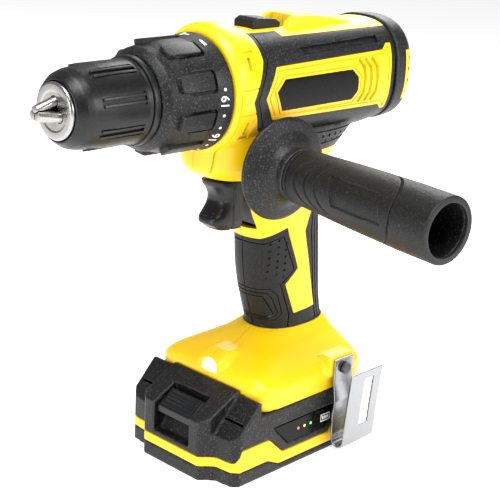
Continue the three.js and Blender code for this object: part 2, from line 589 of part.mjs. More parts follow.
piece('chuck_body', mainBody(chuckBody), brightSteel);
jaws.forEach((jaw, i) => piece(`jaw_${i + 1}`, mainBody(jaw), brightSteel));
piece('chuck_sleeve', turned([
  [CHUCK_SLEEVE_REAR, CHUCK_BODY_RADIUS + 0.4], [CHUCK_SLEEVE_REAR, CHUCK_SLEEVE_RADIUS + 0.6],
  [91, CHUCK_SLEEVE_RADIUS], [102.6, CHUCK_SLEEVE_RADIUS], [110, CHUCK_SLEEVE_RADIUS - 0.2],
  [117.8, CHUCK_SLEEVE_RADIUS - 1], [121.6, CHUCK_SLEEVE_RADIUS - 1.4], [125.4, CHUCK_SLEEVE_RADIUS - 2.5],
  [CHUCK_SLEEVE_FRONT, CHUCK_NOSE_RADIUS + 1.3], [CHUCK_SLEEVE_FRONT, CHUCK_NOSE_RADIUS + 0.4],
  [122, CHUCK_NOSE_RADIUS + 0.4], [117.6, CHUCK_BODY_RADIUS + 0.4],
  [CHUCK_SLEEVE_REAR, CHUCK_BODY_RADIUS + 0.4],
], 24), blackPlastic);
const chuckRing = tube(CHUCK_RING_REAR, CHUCK_SLEEVE_REAR - GAP, CHUCK_SLEEVE_RADIUS + 1.4, 12.4, 24);
piece('chuck_ring', chuckRing, blackPlastic);

// ---------- gear selector, direction bar, trigger and switch ----------
piece('gear_selector', sidePrism([
  [-7, AXIS_Z + 26], [12.4, AXIS_Z + 26], [12.4, AXIS_Z + 32.4], [9, AXIS_Z + 34], [-3, AXIS_Z + 33],
  [-7, AXIS_Z + 31],
], -6.8, 6.8), blackPlastic);
const BAR_HALF_LENGTH = BODY_HALF_WIDTH - 3;
piece('direction_bar', box(selectorBar[0], selectorBar[1], -BAR_HALF_LENGTH, BAR_HALF_LENGTH,
  selectorBar[2], selectorBar[3]), blackPlastic);
const triggerCurve = [];
for (let i = 0; i <= 10; i += 1) {
  const t = i / 10;
  const z = TRIGGER_TOP - 0.6 - t * (TRIGGER_TOP - TRIGGER_BOTTOM - 1.6);
  const hollow = 6.5 * Math.sin(Math.PI * Math.min(1, t * 1.25)) ** 1.2;
  triggerCurve.push([TRIGGER_FRONT + 2 - hollow + 0.5 * t, z]);
}
piece('trigger', sidePrism([
  [16, TRIGGER_TOP - GAP], ...triggerCurve, [TRIGGER_FRONT - 5, TRIGGER_BOTTOM], [16, TRIGGER_BOTTOM],
], -TRIGGER_HALF_WIDTH, TRIGGER_HALF_WIDTH), blackPlastic);
piece('trigger_spring', rod(2.2, [6.6, 0, TRIGGER_AXIS_Z], [15.7, 0, TRIGGER_AXIS_Z], 16), brightSteel);
piece('switch_module', box(-30, 6.3, -8.5, 8.5, up(128), up(150)), blackPlastic);

// ---------- handle insert, side handle ----------
function alongHandle(profile, sides) {
  const geometry = new THREE.LatheGeometry(profile.map(([d, r]) => new THREE.Vector2(r, d)), sides);
  geometry.applyQuaternion(new THREE.Quaternion().setFromUnitVectors(new THREE.Vector3(0, 1, 0), handleAxis));
  geometry.translate(HANDLE_AT.x, HANDLE_AT.y, HANDLE_AT.z);
  const shape = solid(geometry);
  return shape.volume() > 0 ? shape : solid(flipped(geometry));
}
piece('handle_insert', alongHandle([
  [10, STUD_RADIUS + GAP], [10, INSERT_RADIUS], [24, INSERT_RADIUS], [24, STUD_RADIUS + GAP],
  [10, STUD_RADIUS + GAP],
], 18), brightSteel);
piece('handle_stud', alongHandle([[11, 0], [11, STUD_RADIUS], [52, STUD_RADIUS], [52, 0]], 18), brightSteel);
const sleeveWall = 1.8;
piece('handle_core', alongHandle([
  [29.2, STUD_RADIUS + GAP], [29.2, 11], [FLANGE_AT - 2.4, 12.5], [FLANGE_AT - 2, FLANGE_RADIUS - 1],
  [FLANGE_AT - 0.6, FLANGE_RADIUS], [FLANGE_AT + 0.8, FLANGE_RADIUS], [FLANGE_AT + 2, FLANGE_RADIUS - 1.6],
  [FLANGE_AT + 3, 20], [FLANGE_AT + 6, 16], [GRIP_FROM - 4.5, 13.6], [GRIP_FROM - GAP, 13.6],
  [GRIP_FROM - GAP, 12.2], [HANDLE_END - HANDLE_BORE_DEPTH, 12.4],
  [95, HANDLE_END_RADIUS - sleeveWall - GAP - 0.4],
  [HANDLE_END - 2, HANDLE_END_RADIUS - sleeveWall - GAP], [HANDLE_END - 2, HANDLE_BORE],
  [HANDLE_END - HANDLE_BORE_DEPTH + 20, HANDLE_BORE - 1.6], [HANDLE_END - HANDLE_BORE_DEPTH, 9],
  [HANDLE_END - HANDLE_BORE_DEPTH, 0], [53, 0], [53, STUD_RADIUS + GAP], [29.2, STUD_RADIUS + GAP],
], 20), blackPlastic);
piece('handle_grip', alongHandle([
  [GRIP_FROM, 12.6], [GRIP_FROM, 13.7], [66.5, 14.4], [85.5, 15.2], [104.5, 15.7], [123.5, HANDLE_END_RADIUS],
  [HANDLE_END - 1, HANDLE_END_RADIUS], [HANDLE_END, HANDLE_END_RADIUS - 0.8], [HANDLE_END, HANDLE_BORE + 0.2],
  [HANDLE_END - 1.7, HANDLE_BORE + 0.2], [HANDLE_END - 1.7, HANDLE_END_RADIUS - sleeveWall],
  [95, HANDLE_END_RADIUS - sleeveWall - 0.4], [HANDLE_END - HANDLE_BORE_DEPTH, 12.8], [GRIP_FROM, 12.6],
], 20), blackRubber);

// ---------- foot: worklight, clip, terminals ----------
piece('led_lens', sidePrism([
  [16, FOOT_EDGE + 2], [28.4, FOOT_EDGE + 2], [27, FOOT_EDGE + 6], [24.4, FOOT_EDGE + 9], [16, FOOT_EDGE + 9],
], -6, 6), clearLens);
const clipBottom = 4.5;
const CLIP_SHEET = 1.2;
function clipSheet(points, thickness) {
  const left = [];
  const right = [];
  points.forEach(([y, z], i) => {
    const before = points[Math.max(0, i - 1)];
    const after = points[Math.min(points.length - 1, i + 1)];
    const length = Math.hypot(after[0] - before[0], after[1] - before[1]);
    const ny = ((after[1] - before[1]) / length) * thickness * 0.5;
    const nz = (-(after[0] - before[0]) / length) * thickness * 0.5;
    left.push([y + ny, z + nz]);
    right.unshift([y - ny, z - nz]);
  });
  return [...left, ...right];
}
function acrossX(outline, x0, x1) {
  const shape = new THREE.Shape(outline.map(([y, z]) => new THREE.Vector2(y, z)));
  const geometry = new THREE.ExtrudeGeometry(shape, { depth: x1 - x0, bevelEnabled: false });
  geometry.rotateX(Math.PI / 2);
  geometry.rotateZ(Math.PI / 2);
  geometry.translate(x0, 0, 0);
  return solid(geometry);
}
const clipPath = [[44, 54], [44, 40], [45.4, 30], [44.4, 20], [44.8, clipBottom + 3.6]];
for (let i = 1; i < 8; i += 1) {
  const angle = Math.PI + (i / 8) * Math.PI;
  clipPath.push([48.9 + 4.1 * Math.cos(angle), clipBottom + 3.6 + 4.1 * Math.sin(angle)]);
}
clipPath.push([53, clipBottom + 3.6], [54.4, 28], [56.4, 49]);
const clipStrip = acrossX(clipSheet(clipPath.slice(0, 9), CLIP_SHEET), -40, -24.5);
const clipPlate = acrossX(clipSheet(clipPath.slice(7), CLIP_SHEET), -50.5, -24.5);
piece('belt_clip', mainBody(clipStrip.add(clipPlate)
  .subtract(box(-44, -36.5, 52.5, 60, 16, 44))
  .subtract(rod(2, [CLIP_SCREW_X, 40, CLIP_SCREW_Z], [CLIP_SCREW_X, 48, CLIP_SCREW_Z], 16))), brightSteel);
piece('belt_clip_screw', rod(1.5, [CLIP_SCREW_X, 31, CLIP_SCREW_Z], [CLIP_SCREW_X, 44.8, CLIP_SCREW_Z], 16)
  .add(rod(3.2, [CLIP_SCREW_X, 44.95, CLIP_SCREW_Z], [CLIP_SCREW_X, 46.8, CLIP_SCREW_Z], 20))
  .add(rod(1.5, [CLIP_SCREW_X, 44.5, CLIP_SCREW_Z], [CLIP_SCREW_X, 45.5, CLIP_SCREW_Z], 16)), darkSteel);
let terminals = box(-52, RAIL_REAR - 0.6, -14, 14, FOOT_BOTTOM + 0.6, RAIL_TOP - 0.2);
TERMINAL_PLACES.forEach((y) => {
  terminals = terminals.add(box(RAIL_REAR - 1, RAIL_REAR + 7, y - 0.4, y + 0.4, 38.4, 40.6));
});
piece('terminal_block', terminals, blackPlastic);

screwPlaces.forEach(([x, z, seat], i) => {
  const slot = box(x - 2, x + 2, seat - HEAD_HEIGHT - 1, seat - HEAD_HEIGHT + 0.9, z - 0.45, z + 0.45);
  piece(`housing_screw_${i + 1}`, rod(HEAD_RADIUS, [x, seat - HEAD_HEIGHT - 0.1, z], [x, seat - 0.1, z], 12)
    .add(rod(SCREW_RADIUS, [x, seat - 0.5, z], [x, 10.5, z], 10))
    .subtract(slot), darkSteel);
});

// ---------- battery pack ----------
function packPlan(shrink) {
  const rear = PACK_REAR + shrink;
  const half = PACK_HALF_WIDTH - shrink;
  const corner = PACK_CORNER_X - shrink;
  const nose = PACK_NOSE_HALF_WIDTH - shrink;
  const front = PACK_FRONT - shrink;
  const upper = [
    [front - 1.2, nose], [front - 3.6, nose + 2], [corner + 1, nose + 5.5], [corner, half - 3.7],
    [corner - 3.5, half], [rear + 4, half], [rear, half - 4],
  ];
  const lower = upper.map(([x, y]) => [x, -y]).reverse();
  return [[front, -(nose - 1.5)], [front, nose - 1.5], ...upper, ...lower];
}
const bandTop = [
  [60, BAND_HIGH], [44.5, BAND_HIGH], [41.5, 20.2], [21.3, 20.2],
  [10.5, 10.2], [-26.3, 10], [-31.7, 15.5], [-60, 15.5],
];
const bandFoot = [[-60, 3.8], [13, 3.8], [22, BAND_LOW], [60, BAND_LOW]];
const raised = (points, by) => points.map(([x, z]) => [x, z + by]);
const packHollow = planPrism(packPlan(PACK_WALL), 2, 34);
const packBody = planPrism(packPlan(0), 0, 60);
const bandZone = sidePrism([...bandTop, ...bandFoot], -REACH, REACH);
piece('battery_band', mainBody(packBody.intersect(bandZone).subtract(packHollow)), yellowPlastic);
const lowerZone = sidePrism([[-60, -1], [60, -1], ...raised(bandFoot, -GAP).reverse()], -REACH, REACH);
piece('battery_lower_case', mainBody(packBody.intersect(lowerZone)
  .subtract(planPrism(packPlan(PACK_WALL), 2, 60))), blackPlastic);

const deckProfile = [
  [-60, 0], [60, 0], [60, DECK_FRONT_Z - 2.5], [PACK_FRONT, DECK_FRONT_Z], [FOOT_FRONT + 1.2, DECK_REAR_Z],
  [FOOT_FRONT + 0.4, DECK_REAR_Z], [FOOT_FRONT + 0.4, FOOT_BOTTOM - GAP], [-60, FOOT_BOTTOM - GAP],
];
const wingProfile = [
  [-60, 0], [60, 0], [60, 24], [PACK_CORNER_X, 26], [FOOT_FRONT + 2, 43.5], [FOOT_FRONT + 0.4, 43.5],
  [FOOT_FRONT + 0.4, FOOT_BOTTOM - GAP], [-60, FOOT_BOTTOM - GAP],
];
const DECK_HALF_WIDTH = 25;
const aboveBand = sidePrism([...raised(bandTop, GAP), [-60, 80], [60, 80]], -REACH, REACH);
let upperCase = packBody.intersect(
  sidePrism(deckProfile, -DECK_HALF_WIDTH, DECK_HALF_WIDTH).add(sidePrism(wingProfile, -REACH, REACH)),
).intersect(aboveBand);
upperCase = upperCase.subtract(planPrism(packPlan(PACK_WALL), 2, FOOT_BOTTOM - GAP - PACK_WALL)
  .intersect(box(-60, 40, -REACH, REACH, 0, 60)));
upperCase = upperCase.add(box(RAIL_REAR, FOOT_FRONT + 1, -RAIL_NECK_HALF_WIDTH, RAIL_NECK_HALF_WIDTH,
  FOOT_BOTTOM - 1, RAIL_NECK_TOP));
upperCase = upperCase.add(box(RAIL_REAR, FOOT_FRONT + 1, -RAIL_HALF_WIDTH, RAIL_HALF_WIDTH,
  RAIL_NECK_TOP, RAIL_TOP));
upperCase = upperCase.subtract(box(RAIL_REAR + 2, FOOT_FRONT - 3, -RAIL_NECK_HALF_WIDTH + 2,
  RAIL_NECK_HALF_WIDTH - 2, FOOT_BOTTOM - 6, RAIL_TOP - 2));
TERMINAL_PLACES.forEach((y) => {
  upperCase = upperCase.subtract(box(RAIL_REAR - 1, RAIL_REAR + 3, y - 1, y + 1, 37.8, 41));
});
const recess = sidePrism([
  [60, 16.5], [49, 16.5], [46, 22], [38.4, 33.8], [38.4, 39.5], [43, 45], [60, 45],
], -13.5, 13.5);
upperCase = upperCase.subtract(recess);
const panelOutline = [[18.6, 26], [6.9, 14.2], [-23.5, 14], [-29.8, 19.8], [-29.8, 26]];
upperCase = upperCase.subtract(sidePrism(outlineGrown(panelOutline, GAP), PACK_HALF_WIDTH - 1.6, 50));
piece('battery_upper_case', mainBody(upperCase), blackPlastic);
piece('indicator_panel', sidePrism(panelOutline, PACK_HALF_WIDTH - 1.3, PACK_HALF_WIDTH - 0.1), labelBlack);
piece('release_button', sidePrism([
  [46.4, 25.6], [52.4, 27.4], [52.6, 31.4], [42.2, 38.2], [40.9, 36.4],
], -12.4, 12.4), blackPlastic);
for (let i = 0; i < CELL_COUNT; i += 1) {
  const x = -4 + (i - (CELL_COUNT - 1) / 2) * CELL_PITCH;
  const half = CELL_LENGTH / 2;
  piece(`cell_${i + 1}`, rod(CELL_RADIUS, [x, -half, CELL_AXIS_Z], [x, half, CELL_AXIS_Z], 16), cellWrap);
}
piece('battery_board', box(-45, 25, -30, 30, 24, 25.6), boardGreen);

// ---------- the model ----------
const group = new THREE.Group();
pieces.forEach(([name, shape, material]) => {
  const mesh = new THREE.Mesh(geometryOf(shape), material);
  mesh.name = name;
  group.add(mesh);
});

export default group;
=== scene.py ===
# %% [markdown]
# # A cordless drill, finished for a studio picture
# The drill's frame comes from CAD: every node sits where it belongs, in metres, with +X towards the
# chuck, +Y to the operator's left and +Z up. This lesson keeps the pieces that are hidden inside and
# gives each visible piece a finer shape, then makes the finishes: moulded plastic, rubber and steel.

# %% Load the frame
import json
import math

import bpy
from mathutils import Matrix, Vector

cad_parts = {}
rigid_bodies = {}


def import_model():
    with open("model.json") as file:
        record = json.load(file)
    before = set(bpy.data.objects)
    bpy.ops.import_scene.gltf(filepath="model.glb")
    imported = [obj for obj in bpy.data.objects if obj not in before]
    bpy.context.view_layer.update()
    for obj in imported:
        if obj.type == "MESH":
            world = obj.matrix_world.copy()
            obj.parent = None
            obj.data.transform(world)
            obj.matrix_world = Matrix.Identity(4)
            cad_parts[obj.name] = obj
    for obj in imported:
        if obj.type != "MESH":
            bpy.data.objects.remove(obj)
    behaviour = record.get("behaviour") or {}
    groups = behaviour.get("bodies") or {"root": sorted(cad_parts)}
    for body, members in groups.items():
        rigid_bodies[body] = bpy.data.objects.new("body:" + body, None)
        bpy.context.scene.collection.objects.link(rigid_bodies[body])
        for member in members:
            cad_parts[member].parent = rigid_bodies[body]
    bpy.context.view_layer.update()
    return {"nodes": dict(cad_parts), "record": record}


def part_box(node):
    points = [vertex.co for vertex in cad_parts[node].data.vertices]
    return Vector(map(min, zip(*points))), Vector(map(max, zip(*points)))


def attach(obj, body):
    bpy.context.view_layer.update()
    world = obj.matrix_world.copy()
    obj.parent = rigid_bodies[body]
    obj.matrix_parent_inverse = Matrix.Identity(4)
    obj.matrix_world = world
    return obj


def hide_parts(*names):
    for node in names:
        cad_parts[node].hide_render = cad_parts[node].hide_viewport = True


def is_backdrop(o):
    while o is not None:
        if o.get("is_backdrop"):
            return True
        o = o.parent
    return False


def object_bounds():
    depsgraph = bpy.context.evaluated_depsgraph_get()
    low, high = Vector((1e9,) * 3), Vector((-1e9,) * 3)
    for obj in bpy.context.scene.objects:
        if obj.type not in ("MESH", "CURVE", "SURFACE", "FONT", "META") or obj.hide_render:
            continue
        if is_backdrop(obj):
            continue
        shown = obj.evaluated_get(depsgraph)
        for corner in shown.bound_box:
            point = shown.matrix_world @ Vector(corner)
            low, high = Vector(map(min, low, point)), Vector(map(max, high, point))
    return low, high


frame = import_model()

MM = 0.001

# %% [markdown]
# ## Measures from the frame
# The spindle's axis and the ends of the housing are read from the CAD boxes. Most heights and lengths
# below are counted from them, so that each new piece lands on the piece it stands for.

# %% Read the driving measures
def box_mm(node):
    """A node's lowest and highest corner in millimetres."""
    low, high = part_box(node)
    return [v / MM for v in low], [v / MM for v in high]


spindle_low, spindle_high = box_mm("spindle")
AXIS_Z = (spindle_low[2] + spindle_high[2]) / 2
housing_low, housing_high = box_mm("housing_left")
HOUSING_REAR, HOUSING_FRONT, FOOT_BOTTOM = housing_low[0], housing_high[0], housing_low[2]
print("spindle axis", round(AXIS_Z, 1), "mm up")
print("housing from", round(HOUSING_REAR, 1), "to", round(HOUSING_FRONT, 1), "mm")

# %% [markdown]
# ## Small tools
# Operators act on whatever is selected, and the frame arrives selected, so every helper starts by
# picking its own object. A shape is added from a primitive, its vertices are moved to their places,
# and modifiers finish it.

# %% Pick, name and apply
def pick(*objects):
    for other in bpy.context.selected_objects:
        other.select_set(False)
    for one in objects:
        one.select_set(True)
    bpy.context.view_layer.objects.active = objects[0]
    return objects[0]


def edit(operation):
    """Runs one operation in edit mode with everything selected."""
    bpy.ops.object.mode_set(mode="EDIT")
    bpy.ops.mesh.select_all(action="SELECT")
    operation()
    bpy.ops.object.mode_set(mode="OBJECT")


def tidy_mesh():
    bpy.ops.mesh.remove_doubles(threshold=0.00001)
    bpy.ops.mesh.normals_make_consistent(inside=False)


def apply_modifier(piece, kind, **settings):
    pick(piece)
    modifier = piece.modifiers.new(kind.title(), kind)
    for setting, value in settings.items():
        setattr(modifier, setting, value)
    bpy.ops.object.modifier_apply(modifier=modifier.name)
    return piece


def to_origin(piece, name):
    pick(piece)
    piece.name = name
    bpy.ops.object.transform_apply(location=True, rotation=True, scale=True)
    return piece


def combine(piece, tool, operation="DIFFERENCE"):
    """Cuts, joins or keeps what is common with a closed tool, which is used up."""
    apply_modifier(piece, "BOOLEAN", operation=operation, solver="MANIFOLD", object=tool)
    bpy.data.objects.remove(tool)
    return piece


def twin(piece, name):
    made = piece.copy()
    made.data = piece.data.copy()
    made.name = name
    bpy.context.scene.collection.objects.link(made)
    return made


def soften(piece, voxel, passes):
    """Melts every edge a little, as a mould's polished edges do."""
    apply_modifier(piece, "REMESH", mode="VOXEL", voxel_size=voxel * MM, use_smooth_shade=True)
    apply_modifier(piece, "SMOOTH", factor=0.5, iterations=passes)
    return piece


# %% [markdown]
# ## Shapes with many rings
# A grid is rolled into a tube: each of its vertices is sent to the place that its row and column
# give. It could also be extruded ring by ring, but one grid keeps the rings evenly spaced.

# %% Rolled grid
def rolled(name, place, around, along):
    """place(u, v) gives millimetres for u round the tube and v along it, both from 0 to 1."""
    bpy.ops.mesh.primitive_grid_add(x_subdivisions=around, y_subdivisions=along, size=1)
    piece = bpy.context.object
    for vertex in piece.data.vertices:
        vertex.co = Vector(place(vertex.co.x + 0.5, vertex.co.y + 0.5)) * MM

    def close():
        bpy.ops.mesh.remove_doubles(threshold=0.000002)
        bpy.ops.mesh.fill_holes(sides=0)
        bpy.ops.mesh.normals_make_consistent(inside=False)
    pick(piece)
    edit(close)
    return to_origin(piece, name)


def eased(stations, at):
    """A smooth value between rows of a table, whose first column is the distance."""
    rows = sorted(stations)
    for i in range(len(rows) - 1):
        if at <= rows[i + 1][0] or i == len(rows) - 2:
            break
    low, high = rows[i], rows[i + 1]
    before = rows[max(0, i - 1)]
    after = rows[min(len(rows) - 1, i + 2)]
    gap = high[0] - low[0]
    t = min(1, max(0, (at - low[0]) / gap))
    values = []
    for k in range(1, len(low)):
        rise = (high[k] - low[k]) / gap
        slopes = []
        for a, b in ((before, low), (high, after)):
            side = (b[k] - a[k]) / (b[0] - a[0]) if b[0] > a[0] else rise
            slopes.append(0 if side * rise <= 0 else 2 * side * rise / (side + rise))
        h00, h10 = 2 * t**3 - 3 * t**2 + 1, t**3 - 2 * t**2 + t
        h01, h11 = 3 * t**2 - 2 * t**3, t**3 - t**2
        values.append(h00 * low[k] + h10 * gap * slopes[0] + h01 * high[k] + h11 * gap * slopes[1])
    return values


def squarish(turn, wide, tall, power):
    c, s = math.cos(turn), math.sin(turn)
    return (math.copysign(abs(c) ** (2 / power) * wide, c), math.copysign(abs(s) ** (2 / power) * tall, s))


def along_barrel(name, stations, grow=0.0, around=96, step=2.0):
    """Rings along X. Each station is x, half width, rise, drop and squareness."""
    first, last = min(stations)[0], max(stations)[0]

    def place(u, v):
        x = first + (last - first) * v
        half, rise, drop, power = eased(stations, x)
        y, z = squarish(u * math.tau, half + grow, (rise + drop) / 2 + grow, power)
        return x, y, AXIS_Z + (rise - drop) / 2 + z
    return rolled(name, place, around, max(3, int((last - first) / step)))


def up_grip(name, stations, grow=0.0, around=96, step=1.5):
    """Rings up Z. Each station is z, front, rear, half width and squareness."""
    first, last = min(stations)[0], max(stations)[0]

    def place(u, v):
        z = first + (last - first) * v
        front, rear, half, power = eased(stations, z)
        x, y = squarish(u * math.tau, (front - rear) / 2 + grow, half + grow, power)
        return (front + rear) / 2 + x, y, z
    return rolled(name, place, around, max(3, int((last - first) / step)))


# %% [markdown]
# ## Straight cuts and plates
# Labels, slots and grooves have a flat outline and one depth. An outline could be drawn as a curve, but
# a ring of vertices that is filled and extruded gives a closed block that cuts cleanly.

# %% Outlines pushed into blocks
AXES = {"x": (1, 2, 0), "y": (0, 2, 1), "z": (0, 1, 2)}


def block(name, outline, low, high, across="y"):
    """Extrudes an outline, given in the two other axes in millimetres, from low to high."""
    first, second, depth = AXES[across]
    bpy.ops.mesh.primitive_circle_add(vertices=len(outline), fill_type="NGON")
    piece = bpy.context.object
    for vertex, point in zip(piece.data.vertices, outline):
        place = [0, 0, 0]
        place[first], place[second], place[depth] = point[0] * MM, point[1] * MM, low * MM
        vertex.co = place
    push = [0, 0, 0]
    push[depth] = (high - low) * MM

    def extrude():
        bpy.ops.mesh.extrude_region_move(TRANSFORM_OT_translate={"value": push})
        bpy.ops.mesh.select_all(action="SELECT")
        bpy.ops.mesh.normals_make_consistent(inside=False)
    pick(piece)
    edit(extrude)
    return to_origin(piece, name)


def slab(name, x0, x1, y0, y1, z0, z1, bevel=0.0):
    bpy.ops.mesh.primitive_cube_add(size=1)
    piece = bpy.context.object
    piece.scale = [(x1 - x0) * MM, (y1 - y0) * MM, (z1 - z0) * MM]
    piece.location = [(x0 + x1) / 2 * MM, (y0 + y1) / 2 * MM, (z0 + z1) / 2 * MM]
    to_origin(piece, name)
    if bevel:
        edit(lambda: bpy.ops.mesh.bevel(offset=bevel * MM, segments=3, affect="EDGES"))
    return piece


def rod(name, radius, start, end, sides=32):
    start, end = Vector(start) * MM, Vector(end) * MM
    bpy.ops.mesh.primitive_cylinder_add(vertices=sides, radius=radius * MM, depth=(end - start).length)
    piece = bpy.context.object
    piece.location = (start + end) / 2
    piece.rotation_euler = (end - start).to_track_quat("Z", "Y").to_euler()
    return to_origin(piece, name)


def grown(outline, by):
    """The outline moved outwards by a distance, corner by corner."""
    area = sum(a[0] * b[1] - b[0] * a[1] for a, b in zip(outline, outline[1:] + outline[:1]))
    turn = 1 if area > 0 else -1
    moved = []
    for i, corner in enumerate(outline):
        back = Vector(corner) - Vector(outline[i - 1])
        ahead = Vector(outline[(i + 1) % len(outline)]) - Vector(corner)
        first = Vector((back.y, -back.x)).normalized() * turn
        second = Vector((ahead.y, -ahead.x)).normalized() * turn
        middle = (first + second).normalized()
        reach = by / max(0.35, middle.dot(first))
        moved.append((corner[0] + middle.x * reach, corner[1] + middle.y * reach))
    return moved


def line_ring(name, outline, width, low, high, across="y"):
    """A closed wall that follows an outline, for cutting a groove."""
    wall = block(name, grown(outline, width / 2), low, high, across)
    return combine(wall, block("inside", grown(outline, -width / 2), low - 1, high + 1, across))


def strip(name, points, width, low, high, across="y"):
    """A wall along an open line of points, for cutting a groove or adding a rib."""
    left, right = [], []
    for i, point in enumerate(points):
        a, b = Vector(points[max(0, i - 1)]), Vector(points[min(len(points) - 1, i + 1)])
        side = Vector((b.y - a.y, a.x - b.x)).normalized() * width / 2
        left.append((point[0] + side.x, point[1] + side.y))
        right.insert(0, (point[0] - side.x, point[1] - side.y))
    return block(name, left + right, low, high, across)


# %% [markdown]
# ## Turned shapes
# Collar, chuck and handle are round about an axis, as if made on a lathe. The Screw modifier could spin
# a profile. Here the rolled grid does it, so that poles close and corners get a small curve.

# %% Turned shapes
def turned(name, profile, steps=128, corner=0.5, start=None, axis=None):
    """Spins a profile of (distance, radius) points; by default about the spindle's axis."""
    points = rounded(profile, corner)
    base = Vector(start or (0, 0, AXIS_Z))
    ahead = Vector(axis or (1, 0, 0)).normalized()
    side = ahead.cross(Vector((0, 0, 1))).normalized()
    up = side.cross(ahead)

    def place(u, v):
        distance, radius = points[min(len(points) - 1, round(v * (len(points) - 1)))]
        turn = u * math.tau
        return base + ahead * distance + (side * math.cos(turn) + up * math.sin(turn)) * radius
    return rolled(name, place, steps, len(points) - 1)


def rounded(profile, corner, cuts=4):
    """Swaps each inner corner of an outline for a small curve."""
    closed = profile[0] == profile[-1]
    ring = profile[:-1] if closed else profile
    made = []
    for i, point in enumerate(ring):
        here = Vector(point)
        if not closed and i in (0, len(ring) - 1):
            made.append(tuple(here))
            continue
        before, after = Vector(ring[i - 1]), Vector(ring[(i + 1) % len(ring)])
        near = min(corner, (before - here).length * 0.45)
        far = min(corner, (after - here).length * 0.45)
        a, b = here + (before - here).normalized() * near, here + (after - here).normalized() * far
        for k in range(cuts):
            t = k / (cuts - 1)
            made.append(tuple(a * (1 - t) ** 2 + here * 2 * t * (1 - t) + b * t**2))
    if closed:
        made.append(made[0])
    return made


# %% [markdown]
# ## Finishes
# Every finish is built from nodes that read Object coordinates, so a grain keeps its real size.
# Colours are written as sRGB hex values and one function turns them to linear light.

# %% Colour and node helpers
def linear(code):
    """An sRGB hex colour as linear RGBA."""
    parts = [int(code[i:i + 2], 16) / 255 for i in (1, 3, 5)]
    return [c / 12.92 if c <= 0.04045 else ((c + 0.055) / 1.055) ** 2.4 for c in parts] + [1.0]


def add_node(tree, kind, values=None, links=None, **settings):
    """Adds a node, sets its options and inputs, and links outputs of earlier nodes to it."""
    node = tree.nodes.new(kind)
    for setting, value in settings.items():
        setattr(node, setting, value)
    for socket, value in (values or {}).items():
        node.inputs[socket].default_value = value
    for socket, source in (links or {}).items():
        tree.links.new(source, node.inputs[socket])
    return node


def blank(name, **shader):
    """A new material with its Principled shader, whose plain sockets are set here."""
    made = bpy.data.materials.new(name)
    made.use_nodes = True
    principled = made.node_tree.nodes["Principled BSDF"]
    for socket, value in shader.items():
        principled.inputs[socket.replace("_", " ")].default_value = value
    return made, made.node_tree, principled


def moulded(name, colour, shade, roughness, grain_mm, depth_mm, ior, edge_highlight=None, glint=None, **shader):
    """A moulded skin: two close tones, a spark-eroded grain with painted glints, and convex edges made paler
    by a painted highlight.
    """
    made, tree, principled = blank(name, IOR=ior, **shader)
    place = add_node(tree, "ShaderNodeTexCoord").outputs["Object"]
    cloud = add_node(tree, "ShaderNodeTexNoise", {"Scale": 1 / (22 * MM), "Detail": 4.0}, {"Vector": place})
    grain = add_node(tree, "ShaderNodeTexNoise",
                     {"Scale": 1 / (grain_mm * MM), "Detail": 3.0, "Roughness": 0.6},
                     {"Vector": place})
    tone = add_node(tree, "ShaderNodeMixRGB", {"Color1": linear(colour), "Color2": linear(shade)},
                    {"Fac": cloud.outputs["Fac"]})
    colour_out = tone.outputs["Color"]
    # Grain peaks get a paler colour mixed in: painted glints, a painted highlight on the grain.
    if glint:
        peaks = add_node(tree, "ShaderNodeMapRange", {"From Min": 0.56, "From Max": 0.7, "To Max": 0.8},
                         {"Value": grain.outputs["Fac"]})
        lit = add_node(tree, "ShaderNodeMixRGB", {"Color2": linear(glint)},
                       {"Fac": peaks.outputs["Result"], "Color1": colour_out})
        colour_out = lit.outputs["Color"]
    # Convex edges, found by pointiness, get a paler colour mixed in: a painted highlight.
    if edge_highlight:
        edge = add_node(tree, "ShaderNodeNewGeometry").outputs["Pointiness"]
        rim = add_node(tree, "ShaderNodeMapRange", {"From Min": 0.52, "From Max": 0.62, "To Max": 0.55},
                       {"Value": edge})
        highlit_edge = add_node(tree, "ShaderNodeMixRGB", {"Color2": linear(edge_highlight)},
                        {"Fac": rim.outputs["Result"], "Color1": colour_out})
        colour_out = highlit_edge.outputs["Color"]
    tree.links.new(colour_out, principled.inputs["Base Color"])
    spread = add_node(tree, "ShaderNodeMapRange",
                      {"From Min": 0.3, "From Max": 0.7, "To Min": roughness - 0.06,
                       "To Max": roughness + 0.08},
                      {"Value": grain.outputs["Fac"]})
    tree.links.new(spread.outputs["Result"], principled.inputs["Roughness"])
    bump = add_node(tree, "ShaderNodeBump", {"Distance": depth_mm * MM, "Strength": 0.6},
                    {"Height": grain.outputs["Fac"]})
    tree.links.new(bump.outputs["Normal"], principled.inputs["Normal"])
    return made


